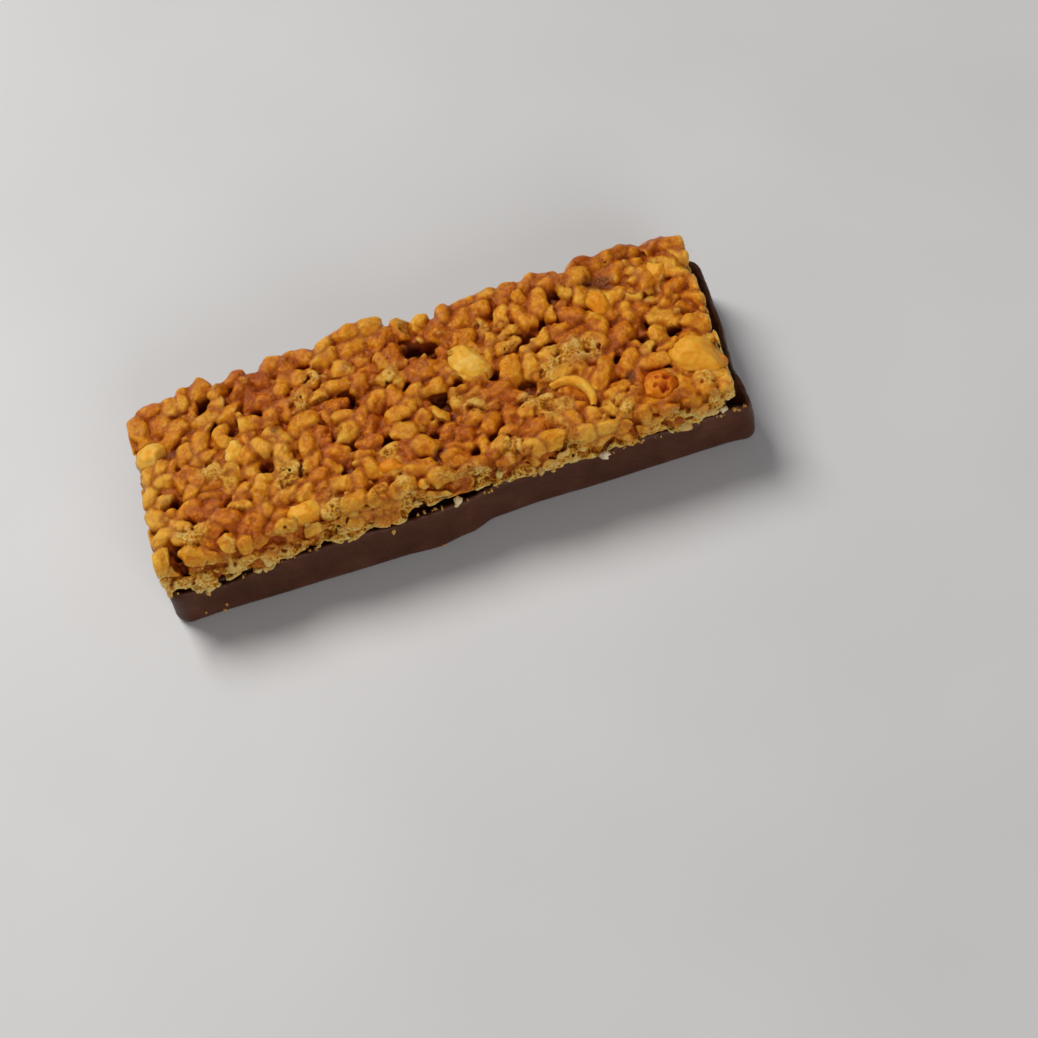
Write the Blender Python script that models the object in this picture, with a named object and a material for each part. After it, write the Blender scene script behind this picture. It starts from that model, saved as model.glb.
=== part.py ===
"""Crisped rice and peanut bar on a chocolate base, lying flat.

A slab of puffed rice grains and peanut pieces, stuck together with syrup and cut with
a knife, sits in a shallow chocolate base whose edge climbs its sides.

Frame: metres, +Z up. The origin is the middle of the flat underside. +X runs along the
bar, -Y is the long side that faces the viewer.
"""

import math

import bmesh
import bpy
import numpy as np
from mathutils import Matrix, Vector, noise

MM = 0.001

# Driving dimensions of the whole bar, in millimetres like all the tables below
BAR_LENGTH = 100.0
BAR_WIDTH = 33.6
TOP_HEIGHT = 16.4  # the level to which the grains were rolled flat
FLOOR_HEIGHT = 7.0  # top of the chocolate under the grains
GAP = 0.3  # between pieces that touch

# Chocolate base
BASE_CORNER_RADIUS = 3.2
RIM_THICKNESS = 1.5
END_RIM_EXTRA = 0.9  # the right-hand end has a thicker lip
RIM_HEIGHT = 8.9  # mean height of the edge that climbs the sides
CORNER_STEPS = 4
SIDE_STATIONS = 21
END_STATIONS = 8
# Outside of the wall from the underside up: inset, height, share of the bulge
FOOT_PROFILE = ((1.5, 0.0, 1.0), (0.7, 0.2, 1.0), (0.2, 0.75, 1.0), (0.0, 1.8, 1.0))
# Its upper edge the same way, with heights from the rim
LIP_PROFILE = ((0.1, -3.3, 0.8), (0.25, -0.7, 0.6), (0.5, -0.15, 0.6), (0.85, 0.0, 0.6), (1.2, -0.2, 0.6))
LIP_TO_WALL = 0.35  # the lip rolls over this far before the wall drops to the floor

# Along the front: the height of the chocolate's upper edge, and how far its wall bulges
FRONT_RIM = (
    (-50, 8.0), (-44, 7.2), (-36, 8.9), (-17, 10.3), (2, 8.8), (15, 7.6), (30, 10.1), (38, 8.8), (50, 9.8)
)
FRONT_BULGE = ((-50, 0.0), (-30, 0.2), (-6, 0.9), (4, -0.2), (30, -0.5), (50, -0.4))
# Across the right-hand end, from front to back: how far the lip sticks out
RIGHT_BULGE = ((-17, 0.6), (-13, 0.9), (-7, 0.3), (3, 1.5), (17, 2.0))

# Slab of grains: the knife's cuts seen from above. At the back a clump stands out of them.
CUT_OUTLINE = (
    (-49.8, -16.3), (48.4, -16.3), (49.7, 17.0), (-2.6, 17.2),
    (-3.6, 19.2), (-12.4, 19.2), (-13.6, 17.2), (-49.6, 17.0),
)
CORE_OUTLINE = ((-48.1, -14.8), (46.9, -14.8), (48.2, 15.1), (-47.9, 15.1))
CORE_DEPTH = 1.7  # the solid core stops this far under the rolled top

# Rice grains
GRAIN_SEED = 11
FILLER_COUNT = 760
GRAIN_LENGTH = (5.6, 0.75)  # mean and spread
GRAIN_WIDTH = (2.95, 0.28)
GRAIN_FLATNESS = 0.9
GRAIN_TILT = 0.28  # spread of the sine of a grain's slope
PLACED_TILT = 0.08
PLACED_EASE = 0.04  # how easily a placed grain is pushed aside
DROP = 0.55  # how far a grain may lie under the rolled level
PACKING_OVERLAP = 0.93  # touching grains are squeezed to this share of their width
RELAX_ROUNDS = 60
FILLER_LOW = (-50.0, -17.8, 8.4)
FILLER_HIGH = (50.6, 16.0, 15.0)
# Which grains stand out of the core as pieces
LEAST_BULK = 24.0  # length times width squared
TOP_FILLERS = 6
TOP_BAND = 2.3
SIDE_FILLERS = 54
SIDE_BAND = 2.0
SIDE_LEVELS = (9.4, 14.4)
FILLER_SPACING = 2.7

# Grains on top, each where it lies: x, y, turn in degrees, length, width
PLACED_GRAINS = (
    (-48.7, -15, 80, 6, 3), (-43.2, -15, -15, 6, 3), (-44.1, -12.1, -10, 5, 2.5),
    (-40.2, -11.2, -40, 4.2, 2.3), (-47.4, -9.8, 30, 4.2, 2.7), (-44.9, -8.7, -35, 4.2, 2.5),
    (-42.6, -6.3, 15, 5.8, 2.8), (-47.3, -6, 100, 5, 3.2), (-46, -3.3, 0, 3.2, 2.3),
    (-41.5, -3, 60, 3.4, 2.5), (-47.9, -1.5, 85, 4.2, 2.9), (-42.6, -0.6, 95, 4.8, 2.9),
    (-45.3, 0.6, -20, 3.6, 2.3), (-47.6, 2.6, 100, 4.4, 2.6), (-43.4, 2.6, 80, 3.2, 2.3),
    (-45.6, 2.9, 45, 3.6, 2.4), (-41.2, 4.6, 80, 4.8, 2.9), (-41.7, 9, 60, 5.6, 3),
    (-44.2, 12, 20, 5.4, 3.8), (-48, 12.2, 95, 6, 3.5), (-45.2, 14.9, 10, 5.2, 3),
    (-42, 15, 100, 4.6, 3), (-34.9, -15.2, 95, 4.2, 3), (-38, -14.7, 90, 3.2, 2.5),
    (-32.9, -12.1, 30, 6, 3.8), (-30.4, -10.6, 80, 4.2, 2.5), (-37.6, -10, -30, 5.8, 3.5),
    (-34.4, -8.5, -20, 4.2, 2.3), (-39.6, -8, -10, 4.2, 2.6), (-30.1, -6.8, 65, 6.2, 3.1),
    (-39.3, -5, 15, 5, 2.8), (-34.3, -3.2, 85, 6.6, 4), (-37.9, -2.9, 0, 3.6, 2.7),
    (-31.2, -2.4, 100, 5.2, 3), (-37.5, -0.6, 30, 3.6, 2.8), (-39.4, 1.2, 95, 4.2, 2.3),
    (-37.6, 2.7, 20, 2.9, 2.2), (-34.4, 5.9, 70, 4.6, 2.7), (-38.4, 6, 70, 5.6, 3.6),
    (-32.4, 9.8, 20, 6.4, 3.4), (-36, 10.4, 30, 4.6, 3), (-33.6, 12.2, 10, 4.8, 2.7),
    (-39.4, 12.4, 100, 5, 3.2), (-39, 15.6, 75, 4.6, 2.7), (-33.4, 15.6, 80, 4.2, 2.4),
    (-36.1, 16, 20, 5.4, 3.9), (-28.6, -15.4, 60, 4.4, 3), (-20.3, -14.4, 60, 3.2, 2.3),
    (-27, -9.4, 15, 5, 2.5), (-23.5, -9.4, 10, 3.6, 2.6), (-21.3, -8.7, 20, 4.2, 3),
    (-25.2, -5.3, 70, 4.6, 3.1), (-21.2, -4.6, 70, 4.6, 2.9), (-20.6, -1.4, 60, 4.8, 2.9),
    (-25.5, -1.3, 70, 4.2, 2.7), (-28.8, 1.2, -60, 4.6, 2.8), (-25.4, 1.9, -50, 5, 2.7),
    (-20.4, 2.7, 15, 5.8, 4.3), (-29.6, 6.3, 30, 4.5, 4.3), (-25.8, 6.8, 80, 4.2, 3.1),
    (-22.9, 7.6, 100, 5, 2.7), (-20.2, 8.4, 60, 5.2, 3.1), (-26.4, 10.6, 10, 6.2, 4.2),
    (-22.6, 11.9, 50, 4.4, 2.8), (-29, 14.6, 70, 5.2, 3.6), (-20.8, 15, 60, 4.2, 2.8),
    (-29.4, 16.2, 10, 3.8, 2.7), (-23.8, 16.2, 20, 5, 3.6), (-12.8, -14.6, 40, 5, 3),
    (-16.3, -14.4, 15, 5.2, 2.9), (-14.4, -11.3, 70, 4.2, 2.9), (-18.4, -9.8, -15, 5.2, 2.9),
    (-12.6, -9.2, 95, 4.2, 2.5), (-12.6, -6.8, 10, 3, 2.3), (-11.4, -4.8, 20, 4.6, 3.4),
    (-16.9, -4.3, -20, 5.6, 4), (-10.2, -1.8, 60, 4.2, 3), (-15.4, -0.9, 5, 5.6, 4),
    (-11, 1.1, 80, 3.6, 2.5), (-13.9, 2, -30, 4.6, 2.7), (-17, 3.4, 60, 3.2, 2.2),
    (-14.9, 4.7, 10, 4.4, 2.8), (-17, 7.6, 40, 3, 2.2), (-14.1, 8.8, -10, 4.6, 2.7),
    (-12, 11.6, -20, 4.4, 2.7), (-17.7, 11.7, 70, 4.2, 2.7), (-15.2, 12.1, 100, 3.8, 2.4),
    (-19.9, 12.3, 60, 4.2, 2.8), (-14.6, 14.4, 40, 4.6, 3), (-18.4, 16.3, 0, 5.2, 2.9),
    (-12.9, 16.4, 30, 5, 3.2), (-8.3, -14.3, 30, 4.6, 2.9), (-1.6, -14.2, -10, 5.4, 3),
    (-4.4, -12.6, -20, 5, 2.7), (-3, -8.4, -35, 5.2, 3.6), (-8.9, -7.5, 20, 4, 2.5),
    (-5.2, -5.3, -35, 4.8, 3.7), (-2.2, -3.2, 45, 3.6, 2.7), (-4.6, -0.3, 30, 7, 3.2),
    (-8.8, 3.2, 60, 4.8, 3.7), (-4.9, 3.2, 100, 4.6, 3.3), (-1, 3.2, 45, 4, 3),
    (-3.1, 6.1, 20, 2.8, 2.2), (-5.1, 7.3, -5, 4.4, 2.6), (-9.1, 9, 55, 7, 4.3),
    (-5.4, 10.2, 90, 2.8, 2.2), (-3, 10.3, 80, 4.4, 2.7), (-4, 14.5, 15, 6, 3.6),
    (-9.4, 14.7, 5, 6, 3), (-0.9, 15.7, 80, 4.6, 2.9), (4.2, -14.8, 10, 5.2, 2.9),
    (8.9, -13.2, 0, 3.8, 2.8), (1.4, -12.3, -20, 4.8, 3), (6.9, -12, 60, 4.2, 2.7),
    (4.2, -8.2, 30, 3.8, 3.1), (8.4, -8.2, 70, 5, 3.2), (1.4, -6.8, 60, 4.6, 3),
    (6.2, -6.4, 20, 4.6, 3), (0.9, -4.2, -60, 4.8, 3), (7.2, -4.1, 30, 3.8, 2.6),
    (8, -1.6, -10, 4.2, 2.8), (4.4, -1.2, 110, 4.6, 2.7), (1.6, 2.8, 0, 4, 2.6),
    (0.6, 6.2, -10, 6.4, 4), (8.2, 10.9, -30, 3.8, 3.5), (5, 13.2, -50, 6.4, 3.8),
    (9.8, 13.8, 30, 4.6, 3), (3, 15.6, 80, 4.6, 3), (7, 16, 85, 3.6, 2.5),
    (13.8, -15, -20, 4.8, 2.8), (16.8, -14.9, 10, 4.2, 2.9), (19.2, -13.3, 85, 5.2, 3),
    (11, -13.2, 70, 4.6, 2.5), (15.4, -11.8, 5, 5.6, 4), (11.2, -10.9, 20, 3.6, 2.4),
    (12, -8.6, 80, 4.6, 2.8), (15, -7.8, 30, 4, 3), (18.2, -7.8, 70, 4.2, 3.2),
    (13.3, -4, -30, 5, 3.4), (10.9, -2.4, -20, 5, 3), (18, 0.7, 80, 5.4, 2.8),
    (14.5, 0.9, 75, 6.2, 3.6), (18.6, 3.6, 10, 2.8, 2), (15.4, 5.8, 0, 4.8, 2.9),
    (13, 7.4, 60, 4.2, 2.7), (15.9, 8.4, 40, 4.4, 3), (19.8, 10.8, 95, 5.8, 3.4),
    (15.8, 11.5, 60, 4.6, 2.7), (12.4, 12.2, -35, 6, 3.4), (12.5, 15, 10, 4.2, 2.7),
    (18.3, 15.6, 10, 5.2, 3.9), (14.6, 16.5, 0, 4.2, 3), (10.6, 16.6, 0, 5, 2.7),
    (26.2, -15.4, -10, 4.2, 2.8), (22.6, -15.2, 10, 4.2, 2.8), (23.9, -13.4, 60, 4, 3.4),
    (27.3, -12.4, -60, 4.6, 2.2), (24.9, -11, -100, 2.6, 1.5), (21.4, -9.4, 45, 3.8, 2.7),
    (25.1, -9.2, -88, 2.8, 1.6), (29.8, -9.1, 30, 5, 2.9), (24.7, -7.2, -70, 2.8, 1.6),
    (23.6, -5.3, -45, 2.8, 1.6), (28.9, -5, 55, 7.8, 3.4), (21.6, -4.6, 10, 2.8, 1.6),
    (22.2, -2.9, 10, 5, 3), (25, -2.3, 80, 4.8, 3), (20.4, -1.6, 0, 3.8, 2.6),
    (24.4, 0.2, 60, 4.6, 3), (28.6, 1.3, -40, 5, 2.9), (21.8, 1.8, 60, 3.4, 2.7),
    (25.9, 2, 70, 3.6, 3), (21, 5, 30, 3.8, 2.7), (25, 5.6, 5, 5.4, 2.8),
    (26.9, 8.5, -50, 5.2, 3.2), (24.2, 9.6, 60, 3.4, 2.4), (29, 11.4, 80, 4.8, 2.9),
    (23, 12, 80, 5.2, 2.8), (27.3, 13.4, 80, 3, 2.2), (29.9, 15, 15, 4.8, 3),
    (22.2, 16, 30, 4.8, 3.7), (26.2, 16.2, 80, 5, 4.1), (33.2, -14.9, 20, 4, 2.6),
    (30.5, -13.7, 30, 4.6, 2.7), (32.6, -11, 60, 3.4, 2.5), (37.4, -6.2, -15, 5.2, 2.8),
    (33.3, -5, 45, 5.2, 3.3), (36.8, -4, 45, 3.6, 2.2), (39.8, -2.1, 105, 4.8, 3.1),
    (33.9, 1.1, 30, 5.2, 4), (30.9, 4.7, -65, 6.4, 3.5), (36.1, 5.5, 65, 5.6, 3.3),
    (38, 7.8, 0, 2.8, 2), (36.2, 9.3, 20, 3.8, 2.6), (39.5, 10.1, 25, 4.6, 3.2),
    (37.1, 13.9, 40, 4.4, 2.8), (38.9, 16.3, -20, 4.8, 3.2), (32.2, 16.6, 10, 4.6, 3),
    (35.6, 16.6, 5, 4.8, 3), (46.4, -13.9, -60, 4.8, 3.3), (40.6, -13.4, 30, 5, 3.6),
    (43.4, -13.2, 70, 4.4, 3.2), (46, -1.8, -20, 5.4, 3.6), (42, 2.7, -25, 7, 4.5),
    (46.6, 3.9, -30, 5.4, 3.4), (48.2, 6.6, 90, 3.6, 2.6), (41.3, 7.3, 30, 5, 3.1),
    (45.6, 7.4, 20, 5, 3.4), (46.6, 10.4, 95, 5.4, 2.8), (47.4, 13.4, -30, 4.2, 2.7),
    (40.2, 13.7, 50, 4.6, 3), (46.8, 15.6, -10, 4.4, 3.3), (43.6, 15.7, 25, 6, 3.3),
)
# Grains that stand above the rolled top at the back edge: x, y, z, turn, length, width
CLUMP_GRAINS = (
    (-9.7, 17.0, 17.2, 10, 5.2, 4.0),
    (-6.0, 17.0, 17.1, -20, 4.6, 3.7),
)
# Holes between the grains: x, y, depth of the centre under the top, radius
PITS = (
    (-35.8, 13.2, 1.2, 1.5), (-44.5, -4.4, 0.9, 1.0), (-28.4, -2.6, 0.8, 1.1), (-27.9, 8.4, 0.8, 0.9),
    (-32.6, 6.4, 0.6, 0.7), (-46.5, -13.0, 0.9, 0.8), (-46.4, -15.0, 0.9, 0.8), (-38.2, -12.6, 0.5, 0.7),
    (-12.6, 5.8, 0.9, 0.8), (-12.3, 4.2, 0.9, 0.8), (-2.4, 4.4, 0.7, 0.7), (-14.2, -4.5, 0.7, 0.9),
    (-8.2, -5.1, 0.9, 1.1), (-16.0, -8.6, 0.8, 1.0), (-0.8, -7.1, 0.6, 0.8), (0.2, 11.3, 1.2, 1.5),
    (2.4, 10.4, 1.2, 1.7), (1.7, 0.3, 1.0, 1.2), (2.2, -1.7, 1.0, 1.1), (5.3, 1.7, 0.8, 0.7),
    (11.7, 1.2, 0.9, 0.8), (19.1, 6.2, 0.9, 1.0), (3.3, -4.7, 0.6, 0.8), (16.2, -3.2, 0.9, 1.2),
    (8.1, -11.0, 0.6, 0.7), (5.1, -12.4, 0.6, 0.8), (25.3, 13.1, 0.9, 1.1), (31.6, -3.5, 0.8, 0.9),
    (38.1, 1.9, 0.9, 0.9), (37.0, -1.4, 1.1, 1.1), (42.2, -1.5, 1.1, 1.1), (46.2, 0.6, 0.6, 0.7),
    (39.5, -7.4, 0.7, 0.8),
)
# Peanut pieces on top: name, x, y, height of the middle, length, width, thickness, turn in degrees
PEANUTS = (
    ("peanut_half_right", 44.0, -7.8, 14.9, 9.6, 7.2, 5.2, -48),
    ("peanut_broken_right", 36.8, -11.6, 14.7, 7.4, 6.4, 4.8, -15),
    ("peanut_chunk_middle", 8.2, 5.2, 14.7, 8.8, 6.6, 4.6, -50),
    ("peanut_chunk_left", -46.4, 6.6, 14.7, 5.6, 5.0, 4.4, 15),
    ("peanut_chunk_front", -24.5, -13.5, 14.9, 5.8, 4.2, 3.8, -5),
    ("peanut_bit_left", -33.3, 2.2, 14.9, 5.0, 3.8, 3.6, 75),
    ("peanut_bit_centre", -8.8, -10.4, 15.0, 4.4, 3.2, 3.2, -8),
    ("peanut_bit_back", 32.1, 9.0, 14.9, 5.4, 3.8, 3.8, 100),
    ("peanut_bit_far", 43.2, 11.8, 14.9, 4.8, 3.8, 3.6, 65),
)
PEANUT_FACETS = 7
PEANUT_FACET_DEPTH = (0.72, 0.9)
PEANUT_ROUGHNESS = 0.05
POCKET_CLEARANCE = 0.35  # between a peanut and its pocket in the grains

COLOURS = {
    "crisp_rice": ((0.53, 0.22, 0.045, 1), 0.42),
    "peanut": ((0.76, 0.36, 0.075, 1), 0.45),
    "chocolate": ((0.045, 0.016, 0.010, 1), 0.38),
}


def clear_scene():
    for thing in list(bpy.data.objects):
        bpy.data.objects.remove(thing)


def material(name):
    """A plain Principled material in the colour and roughness of that food."""
    made = bpy.data.materials.get(name)
    if made is None:
        colour, roughness = COLOURS[name]
        made = bpy.data.materials.new(name)
        made.use_nodes = True
        shader = made.node_tree.nodes["Principled BSDF"]
        shader.inputs["Base Color"].default_value = colour
        shader.inputs["Roughness"].default_value = roughness
        shader.inputs["Metallic"].default_value = 0.0
        made.diffuse_color = colour
    return made


def add_object(name, bm, food):
    """Turns a bmesh in metres into a named object."""
    mesh = bpy.data.meshes.new(name)
    bm.to_mesh(mesh)
    bm.free()
    mesh.materials.append(material(food))
    made = bpy.data.objects.new(name, mesh)
    bpy.context.scene.collection.objects.link(made)
    return made


def smooth_step(t):
    return t * t * (3 - 2 * t)


def along(stations, x):
    """Reads a curve that eases from station to station."""
    for (x0, v0), (x1, v1) in zip(stations, stations[1:]):
        if x <= x1:
            t = min(1.0, max(0.0, (x - x0) / (x1 - x0)))
            return v0 + (v1 - v0) * smooth_step(t)
    return stations[-1][1]


def wave(x, seed):
    """A gentle, irregular wave between about -1 and 1."""
    return math.sin(0.23 * x + seed) * 0.6 + math.sin(0.61 * x + 2.3 * seed) * 0.4


def base_stations():
    """(point, outward normal) round the base, counter-clockwise."""
    far_x = BAR_LENGTH / 2 - BASE_CORNER_RADIUS
    far_y = BAR_WIDTH / 2 - BASE_CORNER_RADIUS
    corners = ((far_x, -far_y, -90), (far_x, far_y, 0), (-far_x, far_y, 90), (-far_x, -far_y, 180))
    counts = (END_STATIONS, SIDE_STATIONS, END_STATIONS, SIDE_STATIONS)
    found = []
    for (cx, cy, start), (nx, ny, _), count in zip(corners, corners[1:] + corners[:1], counts):
        for step in range(CORNER_STEPS + 1):
            turn = math.radians(start + 90 * step / CORNER_STEPS)
            normal = Vector((math.cos(turn), math.sin(turn)))
            found.append((Vector((cx, cy)) + normal * BASE_CORNER_RADIUS, normal))
        begin = found[-1][0]
        end = Vector((nx, ny)) + normal * BASE_CORNER_RADIUS
        for step in range(1, count):
            found.append((begin.lerp(end, step / count), normal))
    return found


def side_shares(normal):
    """How much a station belongs to the front, right, back and left side."""
    return tuple(max(0.0, share) ** 2 for share in (-normal.y, normal.x, normal.y, -normal.x))


def base_bulge(point, normal):
    front, right, back, left = side_shares(normal)
    return (
        front * along(FRONT_BULGE, point.x)
        + right * along(RIGHT_BULGE, point.y)
        + back * 0.35 * wave(point.x, 4.0)
        + left * 0.25 * wave(2 * point.y, 1.0)
    )


def rim_height(point, normal):
    front, right, back, left = side_shares(normal)
    return (
        front * along(FRONT_RIM, point.x)
        + right * (RIM_HEIGHT + 0.5 * wave(2 * point.y, 0.5))
        + back * (RIM_HEIGHT + 1.0 * wave(point.x, 2.0))
        + left * (RIM_HEIGHT - 0.7 + 0.6 * wave(2 * point.y, 3.0))
    )


def base_column(point, normal, grow):
    """One station's outline from the underside, over the lip and down to the floor inside."""
    rim = rim_height(point, normal) + grow
    bulge = base_bulge(point, normal) + grow
    column = []
    for profile, level in ((FOOT_PROFILE, -grow), (LIP_PROFILE, rim)):
        column += [(point + normal * (bulge * share - inset), level + z) for inset, z, share in profile]
    inner = point - normal * (RIM_THICKNESS + END_RIM_EXTRA * side_shares(normal)[1] + grow)
    return column + [(inner, rim - LIP_TO_WALL), (inner, FLOOR_HEIGHT + grow)]


def base_mesh(grow=0.0):
    """The chocolate base, with every face moved out by grow, as one closed bmesh."""
    bm = bmesh.new()
    columns = []
    for point, normal in base_stations():
        column = base_column(point, normal, grow)
        columns.append([bm.verts.new((p.x * MM, p.y * MM, z * MM)) for p, z in column])
    for left, right in zip(columns, columns[1:] + columns[:1]):
        for row in range(len(left) - 1):
            bm.faces.new((left[row], right[row], right[row + 1], left[row + 1]))
    bm.faces.new([column[0] for column in reversed(columns)])
    bm.faces.new([column[-1] for column in columns])
    bmesh.ops.triangulate(bm, faces=bm.faces[:])
    bmesh.ops.recalc_face_normals(bm, faces=bm.faces[:])
    return bm


def scattered_grains(rng):
    """Filler grains before they settle: centres, axes, lengths and widths."""
    low = np.array(FILLER_LOW)
    centres = low + (np.array(FILLER_HIGH) - low) * rng.random((FILLER_COUNT, 3))
    turn = rng.random(FILLER_COUNT) * math.pi
    slope = rng.normal(0, GRAIN_TILT, FILLER_COUNT).clip(-0.8, 0.8)
    flat = np.sqrt(1 - slope**2)
    axes = np.stack([np.cos(turn) * flat, np.sin(turn) * flat, slope], axis=1)
    lengths = rng.normal(*GRAIN_LENGTH, FILLER_COUNT).clip(4.0, 7.2)
    widths = rng.normal(*GRAIN_WIDTH, FILLER_COUNT).clip(2.3, 3.6)
    return centres, axes, lengths, widths


def placed_grains(rng):
    """The grains whose places are known, in the same form."""
    flat = np.array(PLACED_GRAINS)
    x, y, turn, lengths, widths = flat.T
    z = TOP_HEIGHT - widths * GRAIN_FLATNESS / 2 - DROP * rng.random(len(flat))
    clump = np.array(CLUMP_GRAINS)
    centres = np.concatenate([np.stack([x, y, z], axis=1), clump[:, :3]])
    turn = np.radians(np.concatenate([turn, clump[:, 3]]))
    slope = rng.normal(0, PLACED_TILT, len(turn))
    axes = np.stack([np.cos(turn), np.sin(turn), slope], axis=1)
    axes /= np.linalg.norm(axes, axis=1)[:, None]
    return centres, axes, np.concatenate([lengths, clump[:, 4]]), np.concatenate([widths, clump[:, 5]])


def fixed_balls():
    """Peanuts and pits as short rows of balls that the grains keep clear of."""
    balls = []
    for _, x, y, z, length, width, _, turn in PEANUTS:
        reach = (length - width) / 2 + 0.3
        angle = math.radians(turn)
        for k in (-1, 0, 1):
            spot = (x + k * reach * math.cos(angle), y + k * reach * math.sin(angle), z)
            balls.append((*spot, width / 2 - 0.3))
    for x, y, depth, radius in PITS:
        balls.append((x, y, TOP_HEIGHT - depth, radius))
        balls.append((x, y, TOP_HEIGHT, radius * 1.1))
    return np.array(balls)


def touching_pairs(balls, radii, owner):
    """Pairs of balls that are near each other and belong to different grains."""
    squares = (balls**2).sum(1)
    apart = squares[:, None] + squares[None] - 2 * balls @ balls.T
    near = apart < (radii[:, None] + radii[None] + 1.2) ** 2
    first, second = np.nonzero(np.triu(near, 1))
    keep = owner[first] != owner[second]
    return first[keep], second[keep]


def settle(centres, axes, lengths, widths, drops, ease):
    """Pushes grains apart, and down under the rolled top, until they lie side by side."""
    radius = widths / 2 * PACKING_OVERLAP
    reach = lengths / 2 - radius
    count = len(centres)
    fixed = fixed_balls()
    spot = np.tile([-1.0, 0.0, 1.0], count)
    grain = np.repeat(np.arange(count), 3)
    owner = np.concatenate([grain, np.full(len(fixed), -1)])
    radii = np.concatenate([radius[grain], fixed[:, 3]])
    ceiling = TOP_HEIGHT - radius[grain] - drops[grain]
    floor = FLOOR_HEIGHT + radius[grain]
    for step in range(RELAX_ROUNDS):
        balls = centres[grain] + axes[grain] * (spot * reach[grain])[:, None]
        every = np.concatenate([balls, fixed[:, :3]])
        if step % 10 == 0:
            first, second = touching_pairs(every, radii, owner)
        offset = every[first] - every[second]
        distance = np.sqrt((offset**2).sum(1)) + 1e-6
        bite = (radii[first] + radii[second] - distance).clip(0, None)
        push = offset * (bite / distance * 0.5)[:, None]
        moves = np.zeros_like(every)
        np.add.at(moves, first, push)
        np.add.at(moves, second, -push)
        moves = moves[: len(balls)]
        moves[:, 2] += (ceiling - balls[:, 2]).clip(None, 0) + (floor - balls[:, 2]).clip(0, None)
        moves = moves.reshape(count, 3, 3) * ease[:, None, None]
        centres = centres + moves.mean(1) * 0.9
        twist = (moves[:, 2] - moves[:, 0]) / (2 * reach)[:, None]
        axes = axes + (twist - axes * (twist * axes).sum(1)[:, None]) * 0.5
        axes[:, 2] *= 0.97
        axes /= np.linalg.norm(axes, axis=1)[:, None]
    return centres, axes


def packed_grains():
    """All settled grains, the placed ones first: centres, axes, lengths and widths."""
    rng = np.random.default_rng(GRAIN_SEED)
    fillers = scattered_grains(rng)
    placed = placed_grains(rng)
    centres, axes, lengths, widths = (np.concatenate(pair) for pair in zip(placed, fillers))
    ease = np.where(np.arange(len(centres)) < len(placed[0]), PLACED_EASE, 1.0)
    drops = DROP * rng.random(len(centres)) * (ease == 1.0)
    centres, axes = settle(centres, axes, lengths, widths, drops, ease)
    return centres, axes, lengths, widths


def wall_distance(x, y):
    """How far a place lies inside the nearest knife cut."""
    (left, front), (right_front, _), (right_back, back) = CUT_OUTLINE[:3]
    right = right_front + (right_back - right_front) * (y - front) / (back - front)
    return min(x - left, right - x, y - front, back - y)


def spread_out(candidates, chosen, centres, count):
    """Adds up to count candidates to the chosen, none of them close to another."""
    added = 0
    for index in candidates:
        if added == count:
            break
        if np.linalg.norm(centres[chosen] - centres[index], axis=1).min() > FILLER_SPACING:
            chosen.append(index)
            added += 1


def grains_that_show(centres, lengths, widths):
    """Indices of the grains that stand out of the core: the placed ones, then the largest others."""
    bulk = lengths * widths**2
    placed = len(PLACED_GRAINS) + len(CLUMP_GRAINS)
    chosen = [index for index in range(placed) if bulk[index] > LEAST_BULK]
    largest = sorted(range(placed, len(centres)), key=lambda index: -bulk[index])
    inside = {index: wall_distance(*centres[index][:2]) for index in largest}
    top = [i for i in largest if centres[i][2] > TOP_HEIGHT - TOP_BAND and inside[i] > -1.0]
    low, high = SIDE_LEVELS
    side = [i for i in largest if -1.0 < inside[i] < SIDE_BAND and low < centres[i][2] < high]
    spread_out(top, chosen, centres, TOP_FILLERS)
    spread_out(side, chosen, centres, SIDE_FILLERS)
    return chosen


def grain_mesh(centre, axis, length, width):
    """One rice grain with five sides along its axis, about 30 triangles."""
    bm = bmesh.new()
    bmesh.ops.create_uvsphere(bm, u_segments=5, v_segments=4, radius=0.5)
    turn = Vector(axis).to_track_quat("Z", "Y").to_matrix().to_4x4()
    size = Matrix.Diagonal((width * GRAIN_FLATNESS * MM, width * MM, length * MM, 1))
    place = Matrix.Translation(Vector(centre) * MM)
    bmesh.ops.transform(bm, matrix=place @ turn @ size, verts=bm.verts[:])
    return bm


def chunk_mesh(seed, size):
    """A peanut piece: a ball with a few flat, cleaved faces, made to size."""
    rng = np.random.default_rng(seed)
    bm = bmesh.new()
    bmesh.ops.create_icosphere(bm, subdivisions=2, radius=1.0)
    facets = rng.normal(size=(PEANUT_FACETS, 3))
    facets /= np.linalg.norm(facets, axis=1)[:, None]
    depths = rng.uniform(*PEANUT_FACET_DEPTH, PEANUT_FACETS)
    for vert in bm.verts:
        for facet, depth in zip(facets, depths):
            over = vert.co.dot(Vector(facet)) - depth
            if over > 0:
                vert.co -= Vector(facet) * over * 0.85
        bump = noise.noise(vert.co * 1.7 + Vector((seed, 0, 0)))
        vert.co += vert.co.normalized() * PEANUT_ROUGHNESS * bump
        vert.co = Vector([c * side * MM / 2 for c, side in zip(vert.co, size)])
    return bm


def peanut_object(index, clearance=0.0):
    """A peanut piece in its place. With a clearance it is the cutter for its pocket."""
    name, x, y, z, length, width, thickness, turn = PEANUTS[index]
    size = [side + 2 * clearance for side in (length, width, thickness)]
    bm = chunk_mesh(100 + index, size)
    place = Matrix.Translation(Vector((x, y, z)) * MM) @ Matrix.Rotation(math.radians(turn), 4, "Z")
    bmesh.ops.transform(bm, matrix=place, verts=bm.verts[:])
    return add_object(name + "_pocket" if clearance else name, bm, "peanut")


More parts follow.
